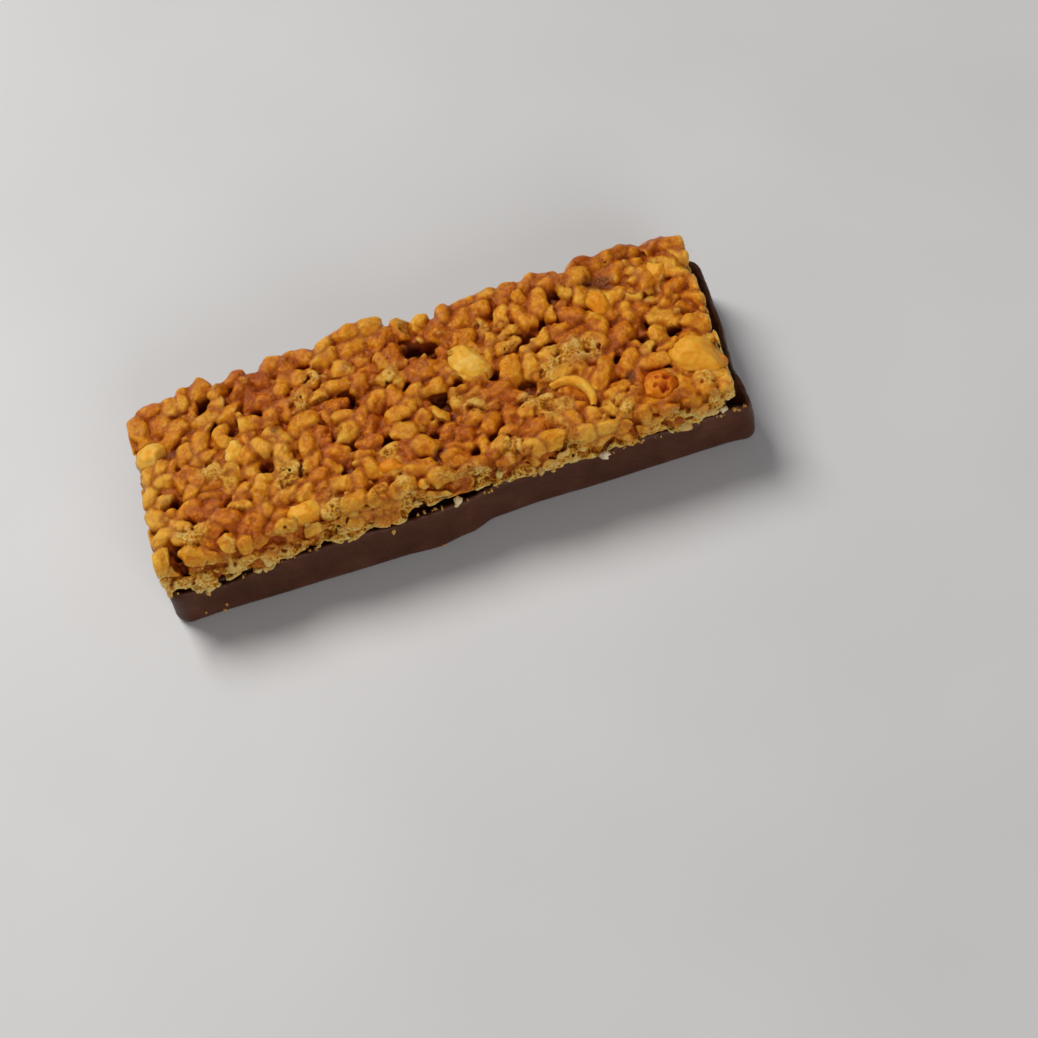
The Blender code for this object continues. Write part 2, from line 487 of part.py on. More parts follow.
def prism(outline, low, high):
    """An upright prism over an outline."""
    bm = bmesh.new()
    face = bm.faces.new([bm.verts.new((x * MM, y * MM, low * MM)) for x, y in outline])
    raised = bmesh.ops.extrude_face_region(bm, geom=[face])["geom"]
    lift = [v for v in raised if isinstance(v, bmesh.types.BMVert)]
    bmesh.ops.translate(bm, verts=lift, vec=(0, 0, (high - low) * MM))
    bmesh.ops.recalc_face_normals(bm, faces=bm.faces[:])
    return bm


def apply_boolean(target, operation, cutter):
    """Joins or cuts target by an object or a collection, and removes what was used."""
    modifier = target.modifiers.new("boolean", "BOOLEAN")
    modifier.operation = operation
    modifier.solver = "MANIFOLD"
    if isinstance(cutter, bpy.types.Collection):
        modifier.operand_type = "COLLECTION"
        modifier.collection = cutter
        used = list(cutter.objects)
    else:
        modifier.object = cutter
        used = [cutter]
    bpy.context.view_layer.update()
    graph = bpy.context.evaluated_depsgraph_get()
    mesh = bpy.data.meshes.new_from_object(target.evaluated_get(graph))
    target.modifiers.clear()
    target.data = mesh
    for thing in used:
        bpy.data.objects.remove(thing)


def keep_largest_shell(target):
    """Drops loose scraps and the walls of sealed hollows."""
    bm = bmesh.new()
    bm.from_mesh(target.data)
    seen = set()
    shells = []
    for start in bm.verts:
        if start in seen:
            continue
        shell = [start]
        seen.add(start)
        for vert in shell:
            for edge in vert.link_edges:
                other = edge.other_vert(vert)
                if other not in seen:
                    seen.add(other)
                    shell.append(other)
        shells.append(shell)
    shells.sort(key=len, reverse=True)
    for shell in shells[1:]:
        bmesh.ops.delete(bm, geom=shell, context="VERTS")
    bm.to_mesh(target.data)
    bm.free()


def build_slab():
    """The slab: a core with the grains that show fused on, cut with the knife, fitted into the base."""
    core = prism(CORE_OUTLINE, FLOOR_HEIGHT - 1, TOP_HEIGHT - CORE_DEPTH)
    slab = add_object("crisp_rice_slab", core, "crisp_rice")
    loose = bpy.data.collections.new("loose_grains")
    bpy.context.scene.collection.children.link(loose)
    centres, axes, lengths, widths = packed_grains()
    for index in grains_that_show(centres, lengths, widths):
        bm = grain_mesh(centres[index], axes[index], lengths[index], widths[index])
        made = add_object(f"grain_{index}", bm, "crisp_rice")
        bpy.context.scene.collection.objects.unlink(made)
        loose.objects.link(made)
    apply_boolean(slab, "UNION", loose)
    bpy.data.collections.remove(loose)
    apply_boolean(slab, "INTERSECT", add_object("knife_cuts", prism(CUT_OUTLINE, 0, 30), "crisp_rice"))
    apply_boolean(slab, "DIFFERENCE", add_object("seat", base_mesh(GAP), "chocolate"))
    for index in range(len(PEANUTS)):
        apply_boolean(slab, "DIFFERENCE", peanut_object(index, POCKET_CLEARANCE))
    keep_largest_shell(slab)


def build_base():
    base = add_object("chocolate_base", base_mesh(), "chocolate")
    base.data.shade_smooth()
    base.data.set_sharp_from_angle(angle=math.radians(40))


def main():
    clear_scene()
    build_base()
    build_slab()
    for index in range(len(PEANUTS)):
        peanut_object(index)


main()
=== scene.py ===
"""Peanut bar: puffed rice grains and peanut pieces stuck with syrup, on a dark chocolate base.

The rice is one skin drawn round about a thousand packed grains and their crumbs, so that syrup
fills the creases between them. It repeats the packing of the bar's solids, and stands where
they do. Lengths are in millimetres until a mesh is made.
"""

import itertools
import math

import bmesh
import bpy
import numpy as np
from mathutils import Matrix, Vector, noise

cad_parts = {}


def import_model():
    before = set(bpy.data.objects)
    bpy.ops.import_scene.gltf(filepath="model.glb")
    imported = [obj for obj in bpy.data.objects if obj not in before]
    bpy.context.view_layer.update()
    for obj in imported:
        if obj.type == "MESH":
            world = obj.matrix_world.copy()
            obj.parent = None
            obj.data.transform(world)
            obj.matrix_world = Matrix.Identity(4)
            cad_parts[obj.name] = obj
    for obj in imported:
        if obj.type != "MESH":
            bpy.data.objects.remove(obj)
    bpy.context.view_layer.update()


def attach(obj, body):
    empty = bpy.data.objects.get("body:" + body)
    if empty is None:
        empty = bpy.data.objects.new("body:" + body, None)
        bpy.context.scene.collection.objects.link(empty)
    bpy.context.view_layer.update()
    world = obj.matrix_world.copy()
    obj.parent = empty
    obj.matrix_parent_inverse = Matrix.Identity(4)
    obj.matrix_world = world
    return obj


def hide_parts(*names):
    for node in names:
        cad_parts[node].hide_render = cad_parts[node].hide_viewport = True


MM = 0.001

# The bar, as in its solids
BAR_LENGTH = 100.0
BAR_WIDTH = 33.6
TOP_HEIGHT = 16.4
FLOOR_HEIGHT = 7.0
BASE_CORNER_RADIUS = 2.1
RIM_THICKNESS = 1.5
END_RIM_EXTRA = 0.9
RIM_HEIGHT = 8.9
LEFT_RIM_DROP = 0.7
RIM_WAVES = (0.5, 1.0, 0.6)  # at the right, the back and the left
RIM_RAGGEDNESS = ((0.28, 0.9, 3.0), (0.16, 2.4, 8.0))  # strength, pace and seed of each noise
FRONT_RIM = (
    (-50, 8.4), (-47, 7.9), (-44, 6.7), (-40, 6.9), (-36, 7.5), (-30, 8.3), (-17, 8.9), (-12, 8.3),
    (-6, 8.9), (2, 8.6), (6, 9.2), (20, 9.2), (24, 8.6), (30, 9.3), (38, 8.8), (50, 9.5),
)
FRONT_BULGE = (
    (-50, 0.6), (-43, 0.4), (-30, 0.7), (-12, 1.0), (-6, 1.4), (0, 0.6), (5, -0.8), (12, -1.1),
    (25, -0.8), (45, -0.8), (50, -0.4),
)
RIGHT_BULGE = ((-17, 0.6), (-13, 0.9), (-7, 0.4), (-2, 1.0), (3, 1.7), (17, 2.2))
LEFT_BULGE = 0.55
# How far the rice hangs out over the chocolate in front, and lumps on its face: x, z, half width,
# half height, and how far they stand out
FRONT_OVERHANG = (
    (-50, 0.2), (-45, 0.5), (-38, 0.8), (-14, 0.7), (-5, 0.2), (8, 0.3), (18, 0.5), (34, 0.7), (44, 0.8),
    (50, 0.4),
)
FACE_LUMPS = (
    (-43.5, 9.3, 2.4, 2.6, 0.9), (-38.0, 11.0, 1.6, 1.2, 0.5), (-34.0, 9.2, 2.0, 1.9, 0.8),
    (-28.5, 10.6, 1.6, 1.4, 0.6), (-24.0, 12.5, 1.8, 1.5, 0.4), (-18.5, 11.2, 2.2, 1.6, 0.6),
    (-12.5, 11.0, 1.8, 1.3, 0.5), (-7.0, 13.0, 1.6, 1.4, 0.5), (3.5, 11.5, 1.6, 1.4, 0.4),
    (8.0, 12.5, 1.8, 1.6, 0.5), (13.6, 12.6, 1.2, 3.0, 0.8), (19.4, 10.8, 1.3, 1.0, 0.6),
    (24.6, 13.8, 1.9, 1.8, 0.5), (28.6, 10.6, 1.7, 1.3, 0.6), (33.0, 12.8, 1.6, 1.6, 0.4),
    (37.6, 10.4, 2.0, 1.6, 0.9), (43.0, 11.3, 2.3, 0.9, 0.7),
)
# Dark gaps between the rice and the chocolate in front: x, half width
FRONT_GAPS = (
    (-48.0, 1.3), (-41.0, 1.3), (-36.4, 1.0), (-22.6, 1.1), (-13.2, 1.9), (-6.6, 2.1), (3.0, 2.0),
    (19.0, 1.2), (33.6, 1.5), (44.2, 2.2), (47.2, 1.3),
)
# Lower edge of the rice in front, where it turns back under
FRONT_FOOT = (
    (-50, 6.6), (-47, 9.0), (-44, 6.4), (-40.6, 8.2), (-35, 7.6), (-29, 8.6), (-22, 8.1), (-11, 8.2),
    (-5, 9.8), (-2, 9.7), (7, 9.7), (17, 9.2), (25, 9.1), (32, 9.5), (39, 10.0), (45, 10.3), (50, 10.3),
)
# How widely the upper edge is rounded in front
FRONT_ROUNDING = ((-50, 2.6), (-44, 3.2), (-37, 3.2), (-30, 2.5), (-12, 2.2), (0, 1.6), (14, 1.0), (50, 1.0))
# How far grains at the back edge and at the left end are pushed out from where the solids have them
BACK_SHIFT = (
    (-50, 0.4), (-46, 0.4), (-42, -0.6), (-38, 1.0), (-36, 1.3), (-33.5, 0.3), (-30, 0.6), (-24, 0.8),
    (-20, 0.6), (-15, 0.6), (-12, 1.2), (-3, 1.3), (-1, 0.9), (1, 0.1), (5, 0.3), (9, 0.5), (14, 1.1),
    (22, 1.2), (24.5, 1.3), (28, -0.2), (32, 0.8), (42, 0.9), (46, 0.6), (50, 0.0),
)
LEFT_SHIFT = ((-17, 0.3), (-12, 0.2), (-6, 0.2), (0, -0.3), (8, -0.5), (14, -0.5), (17, -0.6))
# Where the cuts and the other sides of the slab stand
CUT_FRONT = -16.3
CUT_BACK = 17.0
CUT_LEFT = -49.8
CUT_RIGHT = (48.2, 49.5)  # at the front and at the back
BACK_EDGE = (
    (-50, 17.4), (-45, 17.6), (-42, 16.8), (-39, 18.4), (-36, 19.4), (-33.5, 17.8), (-30, 18.8),
    (-20, 19.2), (-15, 18.6), (-2, 18.2), (5, 18.0), (9, 18.9), (14, 19.4), (22, 19.8), (28, 19.2),
    (32, 20.0), (42, 20.1), (46.5, 19.8), (50, 17.8),
)

# Packing of the grains, as in the solids. Lengths and widths are each a mean and a spread.
GRAIN_SEED = 11
FILLER_COUNT = 760
GRAIN_LENGTH = (5.6, 0.75)
GRAIN_LENGTH_LIMITS = (4.0, 7.2)
GRAIN_WIDTH = (2.95, 0.28)
GRAIN_WIDTH_LIMITS = (2.3, 3.6)
GRAIN_FLATNESS = 0.9
GRAIN_TILT = 0.28
STEEPEST_TILT = 0.8
PLACED_TILT = 0.08
PLACED_EASE = 0.04
DROP = 0.55
PACKING_OVERLAP = 0.93
RELAX_ROUNDS = 60
PAIR_ROUNDS = 10  # rounds after which the pairs of near grains are looked up again
PAIR_REACH = 1.2  # how far apart two balls still count as near
PUSH_SHARE = 0.9
TWIST_SHARE = 0.5
LEVELLING = 0.97
PEANUT_BITE = 0.3  # how far grains may lie inside a peanut's ends
PIT_MOUTH = 1.1  # how much wider a pit is at the top
FILLER_LOW = (-50.0, -17.8, 8.4)
FILLER_HIGH = (50.6, 16.0, 15.0)

# Grains on top, each where it lies: x, y, turn in degrees, length, width, and its tone
# from -1 for dark, syrupy ones to 1 for pale, broken ones
PLACED_GRAINS = (
    (-48.7, -15, 80, 6, 3, 0.6), (-43.2, -15, -15, 6, 3, 0.2), (-44.1, -12.1, -10, 5, 2.5, -0.3),
    (-40.2, -11.2, -40, 4.2, 2.3, 0.3), (-47.4, -9.8, 30, 4.2, 2.7, 0), (-44.9, -8.7, -35, 4.2, 2.5, 0.1),
    (-42.6, -6.3, 15, 5.8, 2.8, -0.3), (-47.3, -6, 100, 5, 3.2, -0.2), (-46, -3.3, 0, 3.2, 2.3, 0.1),
    (-41.5, -3, 60, 3.4, 2.5, 0), (-47.9, -1.5, 85, 4.2, 2.9, 0.3), (-42.6, -0.6, 95, 4.8, 2.9, -0.4),
    (-45.3, 0.6, -20, 3.6, 2.3, 0.2), (-47.6, 2.6, 100, 4.4, 2.6, 0.4), (-43.4, 2.6, 80, 3.2, 2.3, 0),
    (-45.6, 2.9, 45, 3.6, 2.4, -0.1), (-41.2, 4.6, 80, 4.8, 2.9, 0.1), (-41.7, 9, 60, 5.6, 3, -0.5),
    (-44.2, 12, 20, 5.4, 3.8, -0.4), (-48, 12.2, 95, 6, 3.5, 0), (-45.2, 14.9, 10, 5.2, 3, -0.6),
    (-42, 15, 100, 4.6, 3, -0.1), (-34.9, -15.2, 95, 4.2, 3, 0.2), (-38, -14.7, 90, 3.2, 2.5, 0.7),
    (-32.9, -12.1, 30, 6, 3.8, 0.2), (-30.4, -10.6, 80, 4.2, 2.5, 0.4), (-37.6, -10, -30, 5.8, 3.5, 0.1),
    (-34.4, -8.5, -20, 4.2, 2.3, 0.7), (-39.6, -8, -10, 4.2, 2.6, -0.5), (-30.1, -6.8, 65, 6.2, 3.1, 0.2),
    (-39.3, -5, 15, 5, 2.8, 0.3), (-34.3, -3.2, 85, 6.6, 4, 0.6), (-37.9, -2.9, 0, 3.6, 2.7, 0.2),
    (-31.2, -2.4, 100, 5.2, 3, 0.1), (-37.5, -0.6, 30, 3.6, 2.8, 0.8), (-39.4, 1.2, 95, 4.2, 2.3, 0.7),
    (-37.6, 2.7, 20, 2.9, 2.2, 0.2), (-34.4, 5.9, 70, 4.6, 2.7, 0.1), (-38.4, 6, 70, 5.6, 3.6, 0),
    (-32.4, 9.8, 20, 6.4, 3.4, -0.1), (-36, 10.4, 30, 4.6, 3, 0), (-33.6, 12.2, 10, 4.8, 2.7, -0.1),
    (-39.4, 12.4, 100, 5, 3.2, 0.3), (-39, 15.6, 75, 4.6, 2.7, 0.1), (-33.4, 15.6, 80, 4.2, 2.4, 0),
    (-36.1, 16, 20, 5.4, 3.9, 0.1), (-28.6, -15.4, 60, 4.4, 3, 0.3), (-20.3, -14.4, 60, 3.2, 2.3, 0.4),
    (-27, -9.4, 15, 5, 2.5, 0.1), (-23.5, -9.4, 10, 3.6, 2.6, 0.2), (-21.3, -8.7, 20, 4.2, 3, -0.2),
    (-25.2, -5.3, 70, 4.6, 3.1, 0.4), (-21.2, -4.6, 70, 4.6, 2.9, 0.3), (-20.6, -1.4, 60, 4.8, 2.9, 0),
    (-25.5, -1.3, 70, 4.2, 2.7, 0.4), (-28.8, 1.2, -60, 4.6, 2.8, 0.4), (-25.4, 1.9, -50, 5, 2.7, 0.3),
    (-20.4, 2.7, 15, 5.8, 4.3, 0.2), (-29.6, 6.3, 30, 4.5, 4.3, 0.4), (-25.8, 6.8, 80, 4.2, 3.1, 0.5),
    (-22.9, 7.6, 100, 5, 2.7, 0.3), (-20.2, 8.4, 60, 5.2, 3.1, 0.3), (-26.4, 10.6, 10, 6.2, 4.2, 0.1),
    (-22.6, 11.9, 50, 4.4, 2.8, 0.5), (-29, 14.6, 70, 5.2, 3.6, 0), (-20.8, 15, 60, 4.2, 2.8, -0.3),
    (-29.4, 16.2, 10, 3.8, 2.7, 0), (-23.8, 16.2, 20, 5, 3.6, 0), (-12.8, -14.6, 40, 5, 3, 0.2),
    (-16.3, -14.4, 15, 5.2, 2.9, 0.1), (-14.4, -11.3, 70, 4.2, 2.9, -0.1),
    (-18.4, -9.8, -15, 5.2, 2.9, 0.3), (-12.6, -9.2, 95, 4.2, 2.5, 0.4), (-12.6, -6.8, 10, 3, 2.3, 0.3),
    (-11.4, -4.8, 20, 4.6, 3.4, -0.6), (-16.9, -4.3, -20, 5.6, 4, -0.1), (-10.2, -1.8, 60, 4.2, 3, -0.5),
    (-15.4, -0.9, 5, 5.6, 4, 0.9), (-11, 1.1, 80, 3.6, 2.5, -0.1), (-13.9, 2, -30, 4.6, 2.7, 0.3),
    (-17, 3.4, 60, 3.2, 2.2, -0.2), (-14.9, 4.7, 10, 4.4, 2.8, -0.4), (-17, 7.6, 40, 3, 2.2, 0.7),
    (-14.1, 8.8, -10, 4.6, 2.7, 0.4), (-12, 11.6, -20, 4.4, 2.7, 0.5), (-17.7, 11.7, 70, 4.2, 2.7, 0),
    (-15.2, 12.1, 100, 3.8, 2.4, 0.2), (-19.9, 12.3, 60, 4.2, 2.8, 0.1), (-14.6, 14.4, 40, 4.6, 3, 0.2),
    (-18.4, 16.3, 0, 5.2, 2.9, -0.6), (-12.9, 16.4, 30, 5, 3.2, 0.5), (-8.3, -14.3, 30, 4.6, 2.9, 0.3),
    (-1.6, -14.2, -10, 5.4, 3, 0.1), (-4.4, -12.6, -20, 5, 2.7, 0.1), (-3, -8.4, -35, 5.2, 3.6, 0.3),
    (-8.9, -7.5, 20, 4, 2.5, 0.3), (-5.2, -5.3, -35, 4.8, 3.7, 0.5), (-2.2, -3.2, 45, 3.6, 2.7, 0.3),
    (-4.6, -0.3, 30, 7, 3.2, 0.4), (-8.8, 3.2, 60, 4.8, 3.7, 0.1), (-4.9, 3.2, 100, 4.6, 3.3, -0.1),
    (-1, 3.2, 45, 4, 3, 0.4), (-3.1, 6.1, 20, 2.8, 2.2, 0.9), (-5.1, 7.3, -5, 4.4, 2.6, 1),
    (-9.1, 9, 55, 7, 4.3, -0.1), (-5.4, 10.2, 90, 2.8, 2.2, 0.6), (-3, 10.3, 80, 4.4, 2.7, -0.3),
    (-4, 14.5, 15, 6, 3.6, -0.3), (-9.4, 14.7, 5, 6, 3, 0), (-0.9, 15.7, 80, 4.6, 2.9, -0.2),
    (4.2, -14.8, 10, 5.2, 2.9, 0), (8.9, -13.2, 0, 3.8, 2.8, 0.3), (1.4, -12.3, -20, 4.8, 3, -0.1),
    (6.9, -12, 60, 4.2, 2.7, 0.1), (4.2, -8.2, 30, 3.8, 3.1, -0.7), (8.4, -8.2, 70, 5, 3.2, -0.2),
    (1.4, -6.8, 60, 4.6, 3, -0.5), (6.2, -6.4, 20, 4.6, 3, 0.1), (0.9, -4.2, -60, 4.8, 3, 0),
    (7.2, -4.1, 30, 3.8, 2.6, 0.7), (8, -1.6, -10, 4.2, 2.8, -0.1), (4.4, -1.2, 110, 4.6, 2.7, 0.9),
    (1.6, 2.8, 0, 4, 2.6, -0.1), (0.6, 6.2, -10, 6.4, 4, -0.4), (8.2, 10.9, -30, 3.8, 3.5, 0),
    (5, 13.2, -50, 6.4, 3.8, 0.1), (9.8, 13.8, 30, 4.6, 3, 0.3), (3, 15.6, 80, 4.6, 3, 0.5),
    (7, 16, 85, 3.6, 2.5, 0.1), (13.8, -15, -20, 4.8, 2.8, 0.5), (16.8, -14.9, 10, 4.2, 2.9, 0.3),
    (19.2, -13.3, 85, 5.2, 3, 0.7), (11, -13.2, 70, 4.6, 2.5, 0.6), (15.4, -11.8, 5, 5.6, 4, -0.4),
    (11.2, -10.9, 20, 3.6, 2.4, 0), (12, -8.6, 80, 4.6, 2.8, -0.3), (15, -7.8, 30, 4, 3, 0.2),
    (18.2, -7.8, 70, 4.2, 3.2, 0.1), (13.3, -4, -30, 5, 3.4, -0.5), (10.9, -2.4, -20, 5, 3, -0.3),
    (18, 0.7, 80, 5.4, 2.8, 0.6), (14.5, 0.9, 75, 6.2, 3.6, 0.2), (18.6, 3.6, 10, 2.8, 2, 0.9),
    (15.4, 5.8, 0, 4.8, 2.9, -0.2), (13, 7.4, 60, 4.2, 2.7, 0.3), (15.9, 8.4, 40, 4.4, 3, 0.5),
    (19.8, 10.8, 95, 5.8, 3.4, 0), (15.8, 11.5, 60, 4.6, 2.7, 0.5), (12.4, 12.2, -35, 6, 3.4, 0.1),
    (12.5, 15, 10, 4.2, 2.7, -0.4), (18.3, 15.6, 10, 5.2, 3.9, -0.6), (14.6, 16.5, 0, 4.2, 3, 0),
    (10.6, 16.6, 0, 5, 2.7, -0.1), (26.2, -15.4, -10, 4.2, 2.8, 0.4), (22.6, -15.2, 10, 4.2, 2.8, 0.4),
    (23.9, -13.4, 60, 4, 3.4, 0), (27.3, -12.4, -60, 4.6, 2.2, 0.8), (24.9, -11, -100, 2.6, 1.5, 0.8),
    (21.4, -9.4, 45, 3.8, 2.7, 0.5), (25.1, -9.2, -88, 2.8, 1.6, 0.8), (29.8, -9.1, 30, 5, 2.9, 0.3),
    (24.7, -7.2, -70, 2.8, 1.6, 0.8), (23.6, -5.3, -45, 2.8, 1.6, 0.8), (28.9, -5, 55, 7.8, 3.4, 0.2),
    (21.6, -4.6, 10, 2.8, 1.6, 0.8), (22.2, -2.9, 10, 5, 3, 0.6), (25, -2.3, 80, 4.8, 3, 0.4),
    (20.4, -1.6, 0, 3.8, 2.6, 0.9), (24.4, 0.2, 60, 4.6, 3, 0.3), (28.6, 1.3, -40, 5, 2.9, 0.6),
    (21.8, 1.8, 60, 3.4, 2.7, 0.8), (25.9, 2, 70, 3.6, 3, 0.5), (21, 5, 30, 3.8, 2.7, 0.5),
    (25, 5.6, 5, 5.4, 2.8, 0.4), (26.9, 8.5, -50, 5.2, 3.2, -0.3), (24.2, 9.6, 60, 3.4, 2.4, 0.5),
    (29, 11.4, 80, 4.8, 2.9, 0.2), (23, 12, 80, 5.2, 2.8, 0.2), (27.3, 13.4, 80, 3, 2.2, 0.4),
    (29.9, 15, 15, 4.8, 3, 0.3), (22.2, 16, 30, 4.8, 3.7, -0.1), (26.2, 16.2, 80, 5, 4.1, 0),
    (33.2, -14.9, 20, 4, 2.6, 0.5), (30.5, -13.7, 30, 4.6, 2.7, 0.6), (32.6, -11, 60, 3.4, 2.5, -0.1),
    (37.4, -6.2, -15, 5.2, 2.8, 0.1), (33.3, -5, 45, 5.2, 3.3, -0.1), (36.8, -4, 45, 3.6, 2.2, 0.7),
    (39.8, -2.1, 105, 4.8, 3.1, 0), (33.9, 1.1, 30, 5.2, 4, -0.1), (30.9, 4.7, -65, 6.4, 3.5, 0.3),
    (36.1, 5.5, 65, 5.6, 3.3, 0.2), (38, 7.8, 0, 2.8, 2, 0.9), (36.2, 9.3, 20, 3.8, 2.6, 0.1),
    (39.5, 10.3, 25, 4.4, 3.7, 1), (37.1, 13.9, 40, 4.4, 2.8, 0), (38.9, 16.3, -20, 4.8, 3.2, 0.3),
    (32.2, 16.6, 10, 4.6, 3, -0.5), (35.6, 16.6, 5, 4.8, 3, 0.2), (46.4, -13.9, -60, 4.8, 3.3, 0.1),
    (40.6, -13.4, 30, 5, 3.6, 0.4), (43.4, -13.2, 70, 4.4, 3.2, 0.4), (46, -1.8, -20, 5.4, 3.6, -0.3),
    (42, 2.7, -25, 7, 4.5, 0.2), (46.6, 3.9, -30, 5.4, 3.4, 0), (48.2, 6.6, 90, 3.6, 2.6, 0.2),
    (41.3, 7.3, 30, 5, 3.1, 0.1), (45.6, 7.4, 20, 5, 3.4, -0.5), (46.6, 10.4, 95, 5.4, 2.8, 0.4),
    (47.4, 13.4, -30, 4.2, 2.7, 0.3), (40.2, 13.7, 50, 4.6, 3, -0.2), (46.8, 15.6, -10, 4.4, 3.3, -0.2),
    (43.6, 15.7, 25, 6, 3.3, -0.5),
)
# Grains that stand above the rolled top at the back edge: x, y, z, turn, length, width, tone
CLUMP_GRAINS = (
    (-9.7, 17.0, 17.2, 10, 5.2, 4.0, 0.0), (-6.0, 17.0, 17.1, -20, 4.6, 3.7, 0.1),
)
# Grains that stand out at the back edge: x, y, z, turn, length, width, tone
BACK_GRAINS = (
    (-36.6, 16.6, 14.6, 20, 5.0, 2.9, 0.0), (-20.2, 16.4, 14.8, 5, 5.2, 2.9, -0.2),
    (9.6, 15.9, 14.7, -10, 5.0, 2.8, -0.4), (24.2, 16.4, 14.7, 15, 5.4, 2.9, -0.2),
    (29.2, 17.4, 14.9, -8, 5.2, 3.0, 0.1), (34.4, 17.0, 14.8, 12, 5.4, 2.9, 0.0),
    (39.6, 16.9, 14.8, -15, 5.0, 2.9, 0.2), (44.6, 16.7, 14.7, 5, 5.2, 2.9, -0.1),
)
# Holes between the grains: x, y, depth of the centre under the top, radius
PITS = (
    (-35.8, 13.2, 1.2, 1.5), (-44.5, -4.4, 0.9, 1.0), (-28.4, -2.6, 0.8, 1.1), (-27.9, 8.4, 0.8, 0.9),
    (-32.6, 6.4, 0.6, 0.7), (-46.5, -13.0, 0.9, 0.8), (-46.4, -15.0, 0.9, 0.8), (-38.2, -12.6, 0.5, 0.7),
    (-12.6, 5.8, 0.9, 0.8), (-12.3, 4.2, 0.9, 0.8), (-2.4, 4.4, 0.7, 0.7), (-14.2, -4.5, 0.7, 0.9),
    (-8.2, -5.1, 0.9, 1.1), (-16.0, -8.6, 0.8, 1.0), (-0.8, -7.1, 0.6, 0.8), (0.2, 11.3, 1.2, 1.5),
    (2.4, 10.4, 1.2, 1.7), (1.7, 0.3, 1.0, 1.2), (2.2, -1.7, 1.0, 1.1), (5.3, 1.7, 0.8, 0.7),
    (11.7, 1.2, 0.9, 0.8), (19.1, 6.2, 0.9, 1.0), (3.3, -4.7, 0.6, 0.8), (16.2, -3.2, 0.9, 1.2),
    (8.1, -11.0, 0.6, 0.7), (5.1, -12.4, 0.6, 0.8), (25.3, 13.1, 0.9, 1.1), (31.6, -3.5, 0.8, 0.9),
    (38.1, 1.9, 0.9, 0.9), (37.0, -1.4, 1.1, 1.1), (42.2, -1.5, 1.1, 1.1), (46.2, 0.6, 0.6, 0.7),
    (39.5, -7.4, 0.7, 0.8),
)
# Peanut pieces, as in the solids: name, x, y, height of the middle, length, width, thickness, turn
PEANUTS = (
    ("peanut_half_right", 44.0, -7.8, 14.9, 9.6, 7.2, 5.2, -48),
    ("peanut_broken_right", 36.8, -11.6, 14.7, 7.4, 6.4, 4.8, -15),
    ("peanut_chunk_middle", 8.2, 5.2, 14.7, 8.8, 6.6, 4.6, -50),
    ("peanut_chunk_left", -46.4, 6.6, 14.7, 5.6, 5.0, 4.4, 15),
    ("peanut_chunk_front", -24.5, -13.5, 14.9, 5.8, 4.2, 3.8, -5),
    ("peanut_bit_left", -33.3, 2.2, 14.9, 5.0, 3.8, 3.6, 75),
    ("peanut_bit_centre", -8.8, -10.4, 15.0, 4.4, 3.2, 3.2, -8),
    ("peanut_bit_back", 32.1, 9.0, 14.9, 5.4, 3.8, 3.8, 100),
    ("peanut_bit_far", 43.2, 11.8, 14.9, 4.8, 3.8, 3.6, 65),
)
# How golden each peanut is, from 0 for deep orange to 1 for pale yellow
PEANUT_TONES = (0.68, 0.12, 0.85, 0.85, 0.6, 0.8, 0.25, 0.45, 0.6)
PEANUT_FACETS = 7
PEANUT_FACET_DEPTH = (0.68, 0.87)
PEANUT_CLEAVING = 0.93  # share of what lies over a facet that is taken off
PEANUT_ROUGHNESS = 0.05
PEANUT_DIMPLES = (0.07, 0.03)  # coarse and fine
PEANUT_SPREAD = 1.1
# Painted shade at a peanut's foot: how red it is, and where it begins and how far it fades, in thicknesses
PEANUT_FOOT_SHADE = 0.75
PEANUT_FOOT_TOP = 0.30
PEANUT_FOOT_FADE = 0.45
# Hollows where one peanut's skin is open, with painted shade that deepens with them: x, y, radius, depth
OPEN_PEANUT = "peanut_broken_right"
PEANUT_HOLLOWS = (
    (36.9, -12.6, 0.85, 1.3), (37.8, -10.9, 0.7, 0.8), (35.7, -11.9, 0.55, 0.6), (36.4, -10.5, 0.45, 0.5),
)

# Places on top where grains are broken to crumbs: x, y, radius
ROUGH_SPOTS = (
    (17.0, -7.6, 3.0), (7.6, -3.0, 3.0), (22.0, -1.4, 3.4), (-5.0, 7.2, 2.4), (-9.0, -7.5, 2.0),
    (-12.0, 11.6, 2.2), (43.6, -13.0, 2.4), (30.2, -13.8, 3.0), (-37.8, -0.6, 2.4), (-20.2, 8.4, 2.2),
    (-17.8, 11.8, 2.2), (-20.8, -14.8, 3.0), (-43.0, -12.2, 2.4), (10.6, -13.6, 2.6), (4.8, -1.4, 1.8),
    (-25.0, -5.6, 2.4), (27.0, 0.6, 2.6), (-38.2, -14.4, 2.2), (17.0, 7.6, 2.2), (-8.0, -14.6, 2.6),
)
# Dark purple-brown spots of syrup on top, their purple a painted sheen: x, y, half length, half width
SYRUP_SHEEN_SPOTS = (
    (33.4, 13.2, 3.4, 1.9), (-0.2, 12.2, 1.9, 1.6), (-0.9, -10.9, 1.6, 1.2), (32.7, -8.0, 1.2, 1.4),
    (-43.0, 5.4, 1.3, 1.3), (-25.6, 3.6, 1.2, 1.2),
)

# Crumbs along the chocolate's edge, each range from least to most
EDGE_CRUMBS = 60
EDGE_CRUMB_X = (-49, 49)
EDGE_CRUMB_Y = -16.3
EDGE_CRUMB_OUT = (0, 0.3)
EDGE_CRUMB_RISE = (-0.1, 0.5)
EDGE_CRUMB_SIZES = (0.12, 0.4)
EDGE_CRUMB_STRETCH = (0.55, 1.2)
EDGE_CRUMB_TONES = (0.05, 0.6)
